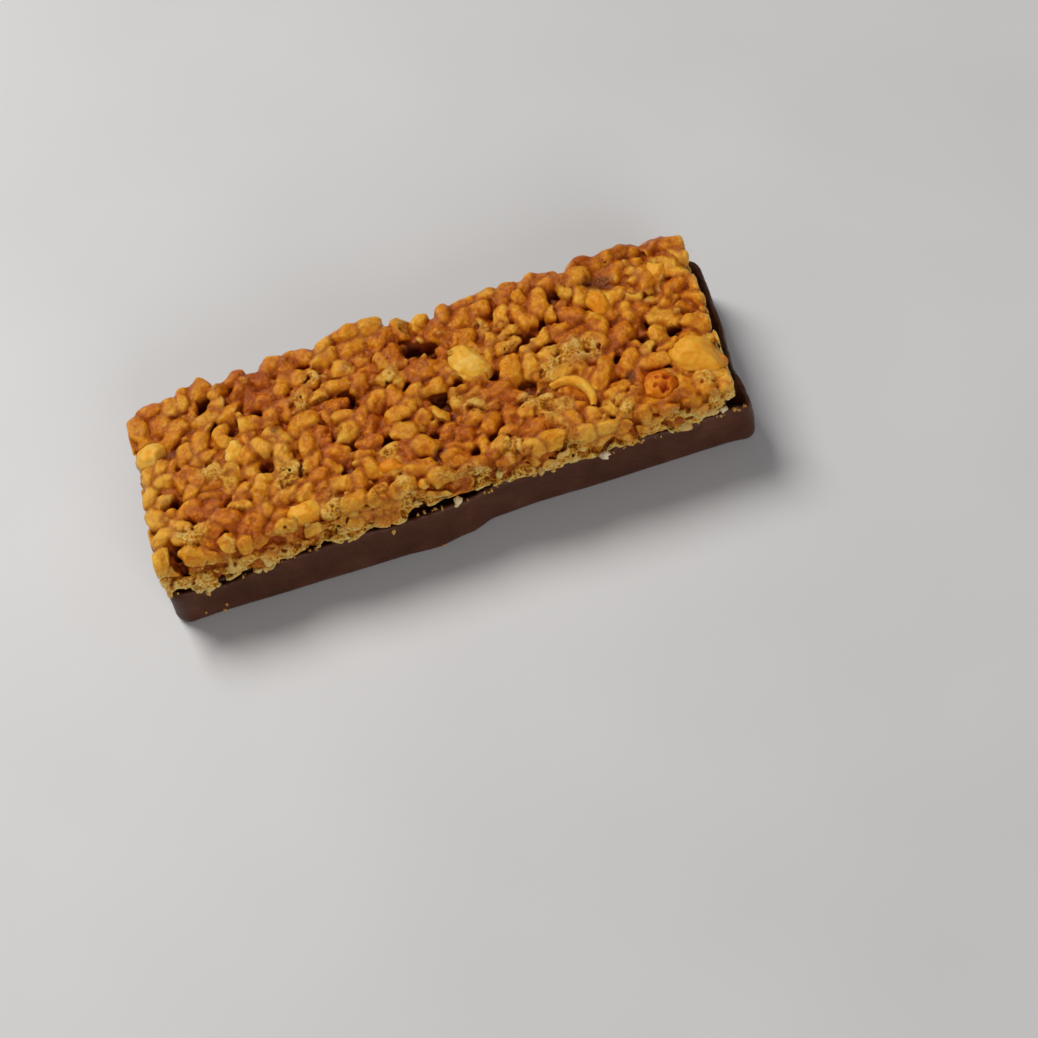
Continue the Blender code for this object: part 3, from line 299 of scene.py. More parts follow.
# Crumbs that lie in known places: x, y, z, half width, half height, tone
PLACED_CRUMBS = (
    (-0.4, -16.7, 9.7, 0.8, 0.6, 0.95), (-0.9, -16.8, 8.7, 0.4, 0.35, 0.85),
    (24.7, -16.9, 9.5, 0.9, 0.6, 1.0), (45.4, -16.4, 10.8, 0.7, 0.4, 0.95),
    (43.4, -16.4, 11.2, 1.2, 0.4, 0.75), (41.4, -16.5, 11.3, 1.0, 0.4, 0.7),
    (38.4, -16.8, 10.4, 1.2, 0.7, 0.65), (13.9, -16.8, 10.6, 0.6, 0.8, 0.6),
    (19.4, -16.7, 10.8, 0.6, 0.5, 0.6), (-33.6, -16.9, 8.2, 0.7, 0.6, 0.65),
    (-45.0, -16.9, 8.5, 0.7, 0.6, 0.6), (-43.9, -16.9, 6.7, 0.5, 0.5, 0.5),
    (-12.0, -17.0, 7.3, 0.4, 0.5, 0.5), (-42.6, -17.25, 0.9, 0.3, 0.3, 0.4),
    (-41.9, -17.3, 2.4, 0.25, 0.3, 0.35), (-45.6, -17.3, 1.9, 0.2, 0.2, 0.3),
    (-4.8, -18.1, 0.5, 0.3, 0.2, 0.3),
)

# Grid on which the grains' skin is worked out
GRID_STEP = 0.25
GRID_LOW = np.array((-52.5, -18.75, 6.9))
GRID_SHAPE = (421, 160, 52)
AXES = [GRID_LOW[k] + GRID_STEP * np.arange(GRID_SHAPE[k]) for k in range(3)]
AXES = np.meshgrid(*(values.astype(np.float32) for values in AXES), indexing="ij", sparse=True)
FAR = 3.0  # distance given to places with no grain near
SMALLEST_SHELL = 600  # points; pores leave smaller closed shells inside the slab
CELL_CORNERS = tuple(itertools.product((0, 1), repeat=3))

# Syrup: it rounds the crease between two grains, thickens the grains on top, and fills what lies
# this far under the rolled top, less in pits and more round peanuts
SYRUP_FILLET = 0.38
PLUMPNESS = 0.22
SYRUP_DEPTH = 1.75
SYRUP_WAVES = 0.4
PIT_DROP = 2.6
COLLAR_RISE = 0.8
SYRUP_INSET = 1.3  # from the cuts, and further from the back and the left
BACK_INSET = 1.6
LEFT_INSET = 0.9
SYRUP_ROUNDING = 0.7

# Broken grains: the share of all, those that always are, and the plane each is broken along
BROKEN_SHARE = 0.15
BROKEN_WIDTH = 1.8
BROKEN_TONE = 0.6
CLEFT_SPREAD = (1, 1, 0.6)
CLEFT_LEAN = (0, -0.3, 0.5)
CLEFT_DEPTH = (0.15, 0.7)
NO_CLEFT = 9.0
SKIN_STRIP_WIDTH = 1.7  # placed grains narrower than this are the split skin, a piece of its own
FILLER_TONE = (-0.45, 0.3)  # mean and spread; the darker mean paints shade, as the fillers lie lower than the grains on top

# Crumbs among the grains, each range from least to most. Every third one lies along the front cut.
CRUMB_COUNT = 600
CRUMB_TONES = (-0.4, 0.9)
CRUMB_WIDTHS = (0.8, 1.9)
CRUMB_STRETCH = (1.0, 1.35)
CRUMB_X = (-49, 48.5)
CRUMB_Y = (-16, 16.5)
CRUMB_DEPTHS = (0.5, 2.2)
CRUMB_PIT_DROP = 3.0
CUT_CRUMB_DEPTHS = (0.0, 1.2)
CUT_CRUMB_HEIGHTS = (8.5, 15.6)

# Shape of the heap. Each layer of noise has its strength, cell and seed.
BLUNTNESS = 2.6  # power of a grain's outline, where 2 makes a plain ellipsoid
BLUNT_REACH = 1.15
GRAIN_MARGIN = 0.8
BEND_NOISE = ((0.19, 1.9, 61), (0.11, 0.9, 71))
LEFT_SHIFT_FADE = (-38, -10)  # start and width of a fade, as for the next two
BACK_SHIFT_FADE = (11, 5)
CLUMP_FADE = (13, 3)
# The clump at the back edge: its middle and half widths in x and y, how far it stands over the
# rolled top, how far its grains are lifted, and x, half width and reach of its bulge at the back
CLUMP_X = -8.0
CLUMP_Y = 18.0
CLUMP_HALF = (6.0, 3.2)
CLUMP_HEIGHT = 2.6
CLUMP_LIFT = 0.45
CLUMP_LIFT_HALF = 5.5
CLUMP_BULGE = (-7.5, 5.8, 1.6)
TOP_ALLOWANCE = 0.2  # how far grains may stand over the rolled top
# The cuts' roughness: strength of the coarse and of the fine noise
FRONT_NOISE = (0.34, 0.2)
RIGHT_NOISE = (0.24, 0.14)
FOOT_NOISE = 0.3
# The groove along the chocolate in front, and the foot of the rice, which turns back under
GROOVE_DEPTH = 0.7
GROOVE_HALF = 0.55
GAP_DEPTH = 2.4
HANG_FADE = (13.5, -3.5)
FOOT_TURN = 2.4
FOOT_RISE = 1.3
FOOT_FADE = -2.1
# How far the slab draws in where the chocolate holds it, and how much more at the back
SINK_DEPTH = 1.1
BACK_SINK = 1.2
LEFT_SLACK = 0.2  # how far grains may stand out past the left side
# Relief of crumbly places: lumps, stronger at the cuts than in rough spots, and open pores
LUMP_NOISE = ((0.65, 1.5, 51), (0.6, 0.75, 53))
LUMP_STRENGTH = (0.24, 0.20)
PORE_STRENGTH = 0.10
PORE_LEVEL = 2.55
PORE_GAIN = 1.2
PORE_SLOPE = 0.3
# Depth of the wrinkles and of the fine grit, and how far grains are thinned in pits
WRINKLE_DEPTH = 0.07
GRIT_DEPTH = 0.05
PIT_THINNING = 0.45
# How deep the cuts are crumbly, the height above which syrup covers the front cut and how much
# that height waves, and how crumbly rough spots and cleft faces are
FRONT_CUT_DEPTH = 1.6
RIGHT_CUT_DEPTH = 1.1
CUT_SYRUP_HEIGHT = 14.5
CUT_SYRUP_WAVES = 1.3
ROUGH_FADE = (12.5, 2)
ROUGH_SHARE = 0.75
CLEFT_SHARE = 0.55
PEANUT_COVER = 0.8  # how far the rice reaches into a peanut's outline, out of sight

LOOK_LIMIT = 2.2  # spreads from the middle at which a look's values are cut off
INNER_REACH = 1.6  # how far inside its sides the slab gets painted shade that darkens with depth
SYRUP_TONE = -0.9  # of places that belong to no grain

# Which faces of the rice go to the side piece: those below this height and near a side.
# Faces this far under the chocolate's edge are left out.
SIDE_PIECE_TOP = 14.4
SIDE_PIECE_REACH = 2.6
HIDDEN_DEPTH = 1.4

# Camera, in the bar's own frame: the bar lies flat, so the camera leans as the photograph saw it
CAMERA_PLACE = (-4.7, -230.7, 317.93)
CAMERA_VIEW = (0.0341, 0.5569, -0.8299)
CAMERA_UP = (0.3059, 0.7847, 0.5392)
CAMERA_LENS = 79.77

# Lights: place and size in metres, power and colour
KEY_LIGHT = ((-0.50, 0.88, 1.20), 0.75, 19.8, (1.0, 0.98, 0.95))
FILL_LIGHT = ((0.30, -1.60, 0.72), 1.1, 12.0, (0.98, 0.98, 1.0))
SKY_STRENGTH = 0.12
FLOOR_HALF = 1.5


# Packing

def scattered_grains(rng):
    """Filler grains before they settle: centres, axes, lengths and widths."""
    low = np.array(FILLER_LOW)
    centres = low + (np.array(FILLER_HIGH) - low) * rng.random((FILLER_COUNT, 3))
    turn = rng.random(FILLER_COUNT) * math.pi
    slope = rng.normal(0, GRAIN_TILT, FILLER_COUNT).clip(-STEEPEST_TILT, STEEPEST_TILT)
    flat = np.sqrt(1 - slope**2)
    axes = np.stack([np.cos(turn) * flat, np.sin(turn) * flat, slope], axis=1)
    lengths = rng.normal(*GRAIN_LENGTH, FILLER_COUNT).clip(*GRAIN_LENGTH_LIMITS)
    widths = rng.normal(*GRAIN_WIDTH, FILLER_COUNT).clip(*GRAIN_WIDTH_LIMITS)
    return centres, axes, lengths, widths


def placed_grains(rng):
    """The grains whose places are known, in the same form."""
    flat = np.array(PLACED_GRAINS)
    x, y, turn, lengths, widths, _ = flat.T
    z = TOP_HEIGHT - widths * GRAIN_FLATNESS / 2 - DROP * rng.random(len(flat))
    clump = np.array(CLUMP_GRAINS)
    centres = np.concatenate([np.stack([x, y, z], axis=1), clump[:, :3]])
    turn = np.radians(np.concatenate([turn, clump[:, 3]]))
    slope = rng.normal(0, PLACED_TILT, len(turn))
    axes = unit_rows(np.stack([np.cos(turn), np.sin(turn), slope], axis=1))
    return centres, axes, np.concatenate([lengths, clump[:, 4]]), np.concatenate([widths, clump[:, 5]])


def fixed_balls():
    """Peanuts and pits as short rows of balls that the grains keep clear of."""
    balls = []
    for _, x, y, z, length, width, _, turn in PEANUTS:
        reach = (length - width) / 2 + PEANUT_BITE
        angle = math.radians(turn)
        for k in (-1, 0, 1):
            spot = (x + k * reach * math.cos(angle), y + k * reach * math.sin(angle), z)
            balls.append((*spot, width / 2 - PEANUT_BITE))
    for x, y, depth, radius in PITS:
        balls.append((x, y, TOP_HEIGHT - depth, radius))
        balls.append((x, y, TOP_HEIGHT, radius * PIT_MOUTH))
    return np.array(balls)


def touching_pairs(balls, radii, owner):
    """Pairs of balls that are near each other and belong to different grains."""
    squares = (balls**2).sum(1)
    apart = squares[:, None] + squares[None] - 2 * balls @ balls.T
    near = apart < (radii[:, None] + radii[None] + PAIR_REACH) ** 2
    first, second = np.nonzero(np.triu(near, 1))
    keep = owner[first] != owner[second]
    return first[keep], second[keep]


def settle(centres, axes, lengths, widths, drops, ease):
    """Pushes grains apart, and down under the rolled top, until they lie side by side."""
    radius = widths / 2 * PACKING_OVERLAP
    reach = lengths / 2 - radius
    count = len(centres)
    fixed = fixed_balls()
    spot = np.tile([-1.0, 0.0, 1.0], count)
    grain = np.repeat(np.arange(count), 3)
    owner = np.concatenate([grain, np.full(len(fixed), -1)])
    radii = np.concatenate([radius[grain], fixed[:, 3]])
    ceiling = TOP_HEIGHT - radius[grain] - drops[grain]
    floor = FLOOR_HEIGHT + radius[grain]
    for step in range(RELAX_ROUNDS):
        balls = centres[grain] + axes[grain] * (spot * reach[grain])[:, None]
        every = np.concatenate([balls, fixed[:, :3]])
        if step % PAIR_ROUNDS == 0:
            first, second = touching_pairs(every, radii, owner)
        offset = every[first] - every[second]
        distance = np.sqrt((offset**2).sum(1)) + 1e-6
        bite = (radii[first] + radii[second] - distance).clip(0, None)
        push = offset * (bite / distance * 0.5)[:, None]
        moves = np.zeros_like(every)
        np.add.at(moves, first, push)
        np.add.at(moves, second, -push)
        moves = moves[: len(balls)]
        moves[:, 2] += (ceiling - balls[:, 2]).clip(None, 0) + (floor - balls[:, 2]).clip(0, None)
        moves = moves.reshape(count, 3, 3) * ease[:, None, None]
        centres = centres + moves.mean(1) * PUSH_SHARE
        twist = (moves[:, 2] - moves[:, 0]) / (2 * reach)[:, None]
        axes = axes + (twist - axes * (twist * axes).sum(1)[:, None]) * TWIST_SHARE
        axes[:, 2] *= LEVELLING
        axes = unit_rows(axes)
    return centres, axes


def packed_grains():
    """All settled grains, the placed ones first: centres, axes, lengths and widths."""
    rng = np.random.default_rng(GRAIN_SEED)
    fillers = scattered_grains(rng)
    placed = placed_grains(rng)
    centres, axes, lengths, widths = (np.concatenate(pair) for pair in zip(placed, fillers))
    ease = np.where(np.arange(len(centres)) < len(placed[0]), PLACED_EASE, 1.0)
    drops = DROP * rng.random(len(centres)) * (ease == 1.0)
    centres, axes = settle(centres, axes, lengths, widths, drops, ease)
    return centres, axes, lengths, widths


# Curves and noise

def unit_rows(rows):
    """Each row scaled to a length of 1."""
    return rows / np.linalg.norm(rows, axis=1)[:, None]


def unit(values):
    """Values held between 0 and 1."""
    return np.clip(values, 0, 1)


def rise(values, start, width):
    """Climbs from 0 at the start to 1 a width further on, which is downward for a negative width."""
    return unit((values - start) / width)


def hump(values, middle, half):
    """A flat-topped hump: 1 in the middle, and near 0 beyond half its width."""
    return np.exp(-(((values - middle) / half) ** 4))


def smooth_step(t):
    return t * t * (3 - 2 * t)


def along(stations, x):
    """Reads a curve that eases from station to station, at one place or at many."""
    places, values = np.array(stations, float).T
    x = np.clip(x, places[0], places[-1])
    step = np.clip(np.searchsorted(places, x) - 1, 0, len(places) - 2)
    t = (x - places[step]) / (places[step + 1] - places[step])
    return values[step] + (values[step + 1] - values[step]) * smooth_step(t)


def wave(x, seed):
    """A gentle, irregular wave between about -1 and 1."""
    return np.sin(0.23 * x + seed) * 0.6 + np.sin(0.61 * x + 2.3 * seed) * 0.4


def spline_rows(count, cell):
    """Weights that read a smooth curve through lattice values at each grid line."""
    place = np.arange(count) * GRID_STEP / cell
    first = np.floor(place).astype(int)
    t = place - first
    rows = np.zeros((count, first[-1] + 4), np.float32)
    weights = ((1 - t) ** 3, 3 * t**3 - 6 * t**2 + 4, -3 * t**3 + 3 * t**2 + 3 * t + 1, t**3)
    for k, weight in enumerate(weights):
        rows[np.arange(count), first + k] = weight / 6
    return rows


def grid_noise(cell, seed):
    """Smooth noise on the grid, with features about one cell wide and a spread of 1."""
    rows = [spline_rows(count, cell) for count in GRID_SHAPE]
    values = np.random.default_rng(seed).normal(size=[row.shape[1] for row in rows]).astype(np.float32)
    for row in rows:
        values = np.tensordot(values, row, axes=(0, 1))
    return values / values.std()


def layered_noise(layers, shift=0):
    """A sum of noises, each with its strength, cell and seed. The shift makes another of the kind."""
    return sum(strength * grid_noise(cell, seed + shift) for strength, cell, seed in layers)


def smooth_min(a, b, width):
    """The lesser of two, rounded over this width where they meet."""
    overlap = np.clip(width - np.abs(a - b), 0, None) / width
    return np.minimum(a, b) - overlap * overlap * width / 4


def smooth_max(a, b, width):
    return -smooth_min(-a, -b, width)


def averaged(values, reach):
    """Grid values averaged over a cube that reaches this many steps to each side."""
    width = 2 * reach + 1
    for axis in range(3):
        count = values.shape[axis]
        margin = [(reach + 1, reach) if k == axis else (0, 0) for k in range(3)]
        total = np.cumsum(np.pad(values, margin, mode="edge"), axis=axis, dtype=np.float64)
        values = (total.take(range(width, width + count), axis) - total.take(range(count), axis)) / width
    return values


def evened(values):
    """Values moved and scaled to lie about zero with a spread of 1."""
    return np.clip((values - np.median(values)) / values.std(), -LOOK_LIMIT, LOOK_LIMIT)


# The skin round the grains

def grain_frames(axes):
    """Length, width and height directions of each grain, one row each."""
    across = unit_rows(np.cross((0.0, 0.0, 1.0), axes))
    return np.stack([axes, across, np.cross(axes, across)], axis=1)


def block_axis(block, k):
    """The k-th coordinate over one block of the grid."""
    return AXES[k][tuple(block[j] if j == k else slice(None) for j in range(3))]


def blunt_distance(block, centre, frame, semi, warp=(0, 0, 0)):
    """About the distance to a blunt ellipsoid, over one block of the grid, its shape bent by the warp."""
    x, y, z = (block_axis(block, k) - centre[k] + warp[k] for k in range(3))
    u, v, w = (frame[k][0] * x + frame[k][1] * y + frame[k][2] * z for k in range(3))
    round_part = (v / semi[1]) ** 2 + (w / semi[2]) ** 2
    level = (np.abs(u / semi[0]) ** BLUNTNESS + round_part ** (BLUNTNESS / 2)) ** (1 / BLUNTNESS)
    slope = np.sqrt((u / semi[0] ** 2) ** 2 + (v / semi[1] ** 2) ** 2 + (w / semi[2] ** 2) ** 2) + 1e-6
    return (level * (level - 1) / slope).astype(np.float32)


def block_round(centre, frame, semi, margin):
    """The part of the grid that a grain can touch."""
    reach = np.sqrt(((frame * semi[:, None]) ** 2).sum(0)) * BLUNT_REACH + margin
    first = np.floor((centre - reach - GRID_LOW) / GRID_STEP).astype(int)
    last = np.ceil((centre + reach - GRID_LOW) / GRID_STEP).astype(int) + 1
    first = np.clip(first, 0, GRID_SHAPE)
    last = np.clip(last, 0, GRID_SHAPE)
    return tuple(slice(a, b) for a, b in zip(first, last))


def grain_bends():
    """How far each place on the grid is moved, per direction, before the grains are read there."""
    x, y, _ = AXES
    bends = [layered_noise(BEND_NOISE, k) for k in range(3)]
    bends[0] += (along(LEFT_SHIFT, y) * rise(x, *LEFT_SHIFT_FADE)).astype(np.float32)
    bends[1] -= (along(BACK_SHIFT, x) * rise(y, *BACK_SHIFT_FADE)).astype(np.float32)
    lift = CLUMP_LIFT * hump(x, CLUMP_X, CLUMP_LIFT_HALF) * rise(y, *CLUMP_FADE)
    bends[2] -= lift.astype(np.float32)
    return bends


def grain_field(centres, axes, lengths, widths, breaks, swell):
    """Distance to the grains and their syrup, gap to the next grain, and each place's own grain."""
    solid, nearest, second = (np.full(GRID_SHAPE, FAR, np.float32) for _ in range(3))
    owner = np.full(GRID_SHAPE, -1, np.int16)
    opened = np.zeros(GRID_SHAPE, np.float32)
    bends = grain_bends()
    rng = np.random.default_rng(GRAIN_SEED + 2)
    grains = zip(centres, grain_frames(axes), lengths, widths)
    for number, (centre, frame, length, width) in enumerate(grains):
        semi = np.array((length, width, width * GRAIN_FLATNESS)) / 2
        block = block_round(centre, frame, semi, GRAIN_MARGIN)
        if any(part.start >= part.stop for part in block):
            continue
        bend = [part[block] for part in bends]
        distance = blunt_distance(block, centre, frame, semi, bend)
        facet, depth = cleft(rng, breaks[number])
        chip = sum(facet[k] * (block_axis(block, k) - centre[k] + bend[k]) for k in range(3))
        chip = chip - depth * width / 2
        face = unit((chip - distance) * 4)
        distance = np.maximum(distance, chip).astype(np.float32) - swell[number]
        solid[block] = smooth_min(solid[block], distance, SYRUP_FILLET)
        closer = distance < nearest[block]
        second[block] = np.where(closer, nearest[block], np.minimum(second[block], distance))
        nearest[block] = np.minimum(nearest[block], distance)
        owner[block] = np.where(closer, number, owner[block])
        opened[block] = np.where(closer, face, opened[block])
    return solid, second - nearest, owner, opened


def cleft(rng, broken):
    """The plane a grain is broken along: its direction, and how far out it lies in half widths."""
    facet = rng.normal(size=3) * CLEFT_SPREAD + CLEFT_LEAN
    return facet / np.linalg.norm(facet), rng.uniform(*CLEFT_DEPTH) if broken else NO_CLEFT


def front_distance(coarse, fine):
    """Distance inside the front cut, with its lumps, the groove over the chocolate, and its foot."""
    x, y, z = AXES
    gap = 0 * x
    for middle, half in FRONT_GAPS:
        gap = np.maximum(gap, hump(x, middle, half))
    groove = GROOVE_DEPTH * unit(0.4 + coarse) + GAP_DEPTH * gap
    groove = groove * np.exp(-(((z - along(FRONT_RIM, x)) / (GROOVE_HALF + GROOVE_HALF * gap)) ** 2))
    hang = along(FRONT_OVERHANG, x) * rise(z, *HANG_FADE)
    face = CUT_FRONT - hang - face_lumps(x, z) + FRONT_NOISE[0] * coarse + FRONT_NOISE[1] * fine
    foot = along(FRONT_FOOT, x) + FOOT_NOISE * fine
    return y - face - groove - FOOT_TURN * rise(z, foot + FOOT_RISE, FOOT_FADE) ** 2


def right_cut(y):
    """Where the right-hand cut stands, which runs a little askew."""
    share = (y - CUT_FRONT) / (CUT_BACK - CUT_FRONT)
    return CUT_RIGHT[0] + (CUT_RIGHT[1] - CUT_RIGHT[0]) * share


def side_distances():
    """Distance inside the front cut, the right-hand cut, and the two sides that weren't cut."""
    x, y, z = AXES
    coarse = grid_noise(3.6, 21)
    fine = grid_noise(1.3, 22)
    right = right_cut(y) - x
    right = right - RIGHT_NOISE[0] * coarse - RIGHT_NOISE[1] * fine - sunk(z, RIM_HEIGHT)
    clump_x, clump_half, clump_out = CLUMP_BULGE
    clump = clump_out * hump(x, clump_x, clump_half)
    back = along(BACK_EDGE, x) + clump - y - BACK_SINK * sunk(z, RIM_HEIGHT)
    left = x - CUT_LEFT + LEFT_SLACK + along(LEFT_SHIFT, y) - sunk(z, RIM_HEIGHT - LEFT_RIM_DROP)
    return front_distance(coarse, fine), right, back, left


def face_lumps(x, z):
    """How far the lumps stand out of the front face."""
    out = 0 * (x + z)
    for cx, cz, half_x, half_z, height in FACE_LUMPS:
        away = ((x - cx) / half_x) ** 2 + ((z - cz) / half_z) ** 2
        out = np.maximum(out, height * unit(1.2 - away) ** 0.7)
    return out


def sunk(z, rim):
    """How far the slab draws in below the chocolate's edge, which holds it."""
    return SINK_DEPTH * rise(z, rim - 0.3, -0.6)


def spot_share(spots):
    """How deep each place on the grid is in one of the round spots, seen from above."""
    x, y, _ = AXES
    share = np.zeros(GRID_SHAPE, np.float32)
    ragged = 0.3 * grid_noise(2.0, 91)
    for cx, cy, radius in spots:
        away = np.sqrt((x - cx) ** 2 + (y - cy) ** 2) / radius + ragged
        share = np.maximum(share, unit(1.5 - 1.5 * away))
    return share


def all_grains():
    """The shapes of all grains and crumbs, with their tones, which are broken, and their swell."""
    packed = packed_grains()
    rng = np.random.default_rng(GRAIN_SEED + 1)
    tones = np.concatenate([
        np.array(PLACED_GRAINS)[:, 5],
        np.array(CLUMP_GRAINS)[:, 6],
        rng.normal(*FILLER_TONE, FILLER_COUNT),
        rng.uniform(*CRUMB_TONES, CRUMB_COUNT),
        np.array(BACK_GRAINS)[:, 6],
    ])
    kinds = zip(packed, loose_crumbs(rng), upright_grains(BACK_GRAINS))
    every = [np.concatenate(parts) for parts in kinds]
    number = np.arange(len(tones))
    keep = (every[3] >= SKIN_STRIP_WIDTH) | (number >= len(packed[0]))
    centres, axes, lengths, widths, tones, number = (part[keep] for part in (*every, tones, number))
    breaks = (rng.random(len(widths)) < BROKEN_SHARE) | (widths < BROKEN_WIDTH) | (tones > BROKEN_TONE)
    swell = PLUMPNESS * (number < len(PLACED_GRAINS) + len(CLUMP_GRAINS))
    return (centres, axes, lengths, widths), tones, breaks, swell


def crumbly_shares(front, right, opened):
    """Where the rice is cut, and where it is broken to crumbs: there, in spots and on cleft grains."""
    z = AXES[2]
    syrupy = CUT_SYRUP_HEIGHT + CUT_SYRUP_WAVES * grid_noise(2.6, 54)
    cut = unit(FRONT_CUT_DEPTH - front) * np.clip((syrupy - z) / 2.5, 0.1, 1.0)
    cut = np.maximum(cut, unit(RIGHT_CUT_DEPTH - right) * np.clip((18.2 - z) / 4.0, 0.3, 1.0))
    crumbly = np.maximum(cut, spot_share(ROUGH_SPOTS) * rise(z, *ROUGH_FADE) * ROUGH_SHARE)
    return cut, np.maximum(crumbly, CLEFT_SHARE * opened)


def trimmed(solid, front, right, back, left):
    """The heap within its rolled top, its two cuts and the two sides that weren't cut."""
    x, y, z = AXES
    clump = np.exp(-(((x - CLUMP_X) / CLUMP_HALF[0]) ** 4) - (((y - CLUMP_Y) / CLUMP_HALF[1]) ** 2))
    rolled = TOP_HEIGHT + TOP_ALLOWANCE + CLUMP_HEIGHT * clump
    block = rounded_block(z - rolled, -np.minimum(front, right), along(FRONT_ROUNDING, x))
    return smooth_max(smooth_max(solid, block, 0.35), -np.minimum(back, left), 0.3)


def clear_peanuts(solid):
    """Takes the rice out of each peanut, as far as it wouldn't be seen."""
    for _, x, y, z, length, width, thickness, turn in PEANUTS:
        frame = np.array(Matrix.Rotation(-math.radians(turn), 3, "Z"))
        semi = np.array((length, width, thickness)) / 2 - PEANUT_COVER
        centre = np.array((x, y, z))
        block = block_round(centre, frame, semi, 0.3)
        solid[block] = np.maximum(solid[block], -blunt_distance(block, centre, frame, semi))


def rice_field():
    """The whole rice heap as a distance field, with what its colours need."""
    shapes, tones, breaks, swell = all_grains()
    solid, gap, owner, opened = grain_field(*shapes, breaks, swell)
    x, y, z = AXES
    pit = pit_depth(x, y)
    level = TOP_HEIGHT - SYRUP_DEPTH + SYRUP_WAVES * grid_noise(2.4, 31)
    level = level - PIT_DROP * pit + COLLAR_RISE * peanut_collar()
    front, right, back, left = side_distances()
    wall = np.minimum(np.minimum(front, right), np.minimum(back - BACK_INSET, left - LEFT_INSET))
    syrup = np.maximum(z - level, SYRUP_INSET - wall).astype(np.float32)
    solid = smooth_min(solid, syrup, SYRUP_ROUNDING)
    solid = solid + PIT_THINNING * pit * unit(TOP_HEIGHT - 0.4 - z)
    valley = wrinkle_valleys()
    solid = solid + WRINKLE_DEPTH * valley
    solid = solid + GRIT_DEPTH * grid_noise(0.7, 42) + GRIT_DEPTH * grid_noise(1.4, 45)
    cut, crumbly = crumbly_shares(front, right, opened)
    lumps = layered_noise(LUMP_NOISE)
    pores = grid_noise(0.5, 52)
    lumpy = (LUMP_STRENGTH[0] + LUMP_STRENGTH[1] * cut) * lumps + PORE_STRENGTH * pores
    solid = solid - lumpy * crumbly
    pore_depth = (pores - PORE_LEVEL + PORE_GAIN * crumbly) * PORE_SLOPE
    solid = np.maximum(solid, np.where(crumbly > 0.02, pore_depth, -1.0))
    solid = trimmed(solid, front, right, back, left)
    clear_peanuts(solid)
    # The averaged field is higher on bumps and lower in hollows. It paints light on bumps and shade in
    # hollows.
    near = np.clip(solid, -1.2, 1.2)
    return {
        "solid": solid.astype(np.float32), "gap": gap, "owner": owner, "tones": tones, "crumbly": crumbly,
        "valley": valley, "lumps": lumps, "coarse_painted_shading": averaged(near, 4), "fine_painted_shading": averaged(near, 2),
        "patches": grid_noise(5.0, 81),
    }


def wrinkle_valleys():
    """Narrow wrinkles over the grains: near 1 along them, 0 between them."""
    wide = np.abs(grid_noise(1.5, 43))
    narrow = np.abs(grid_noise(0.85, 44))
    return unit(1 - wide / 0.55) + 0.6 * unit(1 - narrow / 0.5)


def pit_depth(x, y):
    """How deep places, seen from above, are in one of the holes between the grains."""
    share = 0 * (x + y)
    for px, py, _, radius in PITS:
        away = np.sqrt((x - px) ** 2 + (y - py) ** 2) - radius
        share = np.maximum(share, unit(0.6 - away / 0.9))
    return share


def peanut_collar():
    """Where syrup is drawn up round a peanut: 1 at its outline, seen from above."""
    x, y, _ = AXES
    share = 0 * (x + y)
    for _, px, py, _, length, width, _, turn in PEANUTS:
        angle = math.radians(turn)
        u = ((x - px) * math.cos(angle) + (y - py) * math.sin(angle)) / (length / 2)
        v = ((y - py) * math.cos(angle) - (x - px) * math.sin(angle)) / (width / 2)
        away = (np.sqrt(u**2 + v**2) - 1) * width / 2
        share = np.maximum(share, unit(1.3 - np.abs(away)))
    return share


def rounded_block(above, outside, radius):
    """Distance to a block whose upper edge is rounded, from the distances over its top and side."""
    up = np.clip(above + radius, 0, None)
    out = np.clip(outside + radius, 0, None)
    return np.sqrt(up**2 + out**2) - radius + np.clip(np.maximum(above, outside) + radius, None, 0)


def upright_grains(rows):
    """Grains that lie level where their row says: centres, axes, lengths and widths."""
    x, y, z, turn, lengths, widths, _ = np.array(rows).T
    turn = np.radians(turn)
    axes = np.stack([np.cos(turn), np.sin(turn), 0 * turn], axis=1)
    return np.stack([x, y, z], axis=1), axes, lengths, widths


def loose_crumbs(rng):
    """Small broken bits of grain that lie in the gaps on top, and along the front cut."""
    x = rng.uniform(*CRUMB_X, CRUMB_COUNT)
    y = rng.uniform(*CRUMB_Y, CRUMB_COUNT)
    z = TOP_HEIGHT - rng.uniform(*CRUMB_DEPTHS, CRUMB_COUNT) - CRUMB_PIT_DROP * pit_depth(x, y)
    edge = np.arange(CRUMB_COUNT) % 3 == 0
    y[edge] = CUT_FRONT + rng.uniform(*CUT_CRUMB_DEPTHS, edge.sum())
    z[edge] = rng.uniform(*CUT_CRUMB_HEIGHTS, edge.sum())
    axes = unit_rows(rng.normal(size=(CRUMB_COUNT, 3)))
    widths = rng.uniform(*CRUMB_WIDTHS, CRUMB_COUNT)
    lengths = widths * rng.uniform(*CRUMB_STRETCH, CRUMB_COUNT)
    return np.stack([x, y, z], axis=1), axes, lengths, widths


def read_grid(values, points):
    """Reads grid values at points, between the grid's own points."""
    place = (points - GRID_LOW) / GRID_STEP
    cell = np.clip(np.floor(place).astype(int), 0, np.array(GRID_SHAPE) - 2)
    t = place - cell
    total = np.zeros(len(points))
    for corner in CELL_CORNERS:
        share = np.prod(np.where(corner, t, 1 - t), axis=1)
        i, j, k = (cell + corner).T
        total += share * values[i, j, k]
    return total


def grid_skin(values):
    """Points and quads of the surface where the grid's values cross zero."""
    inside = values < 0
    wide, deep, high = (count - 1 for count in GRID_SHAPE)
    blocks = (inside[a : a + wide, b : b + deep, c : c + high] for a, b, c in CELL_CORNERS)
    count = sum(block.astype(np.int8) for block in blocks)
    active = (count > 0) & (count < len(CELL_CORNERS))
    cells = np.argwhere(active)
    number = np.full(active.shape, -1, np.int32)
    number[active] = np.arange(len(cells))
    return skin_points(values, cells), skin_quads(inside, number)


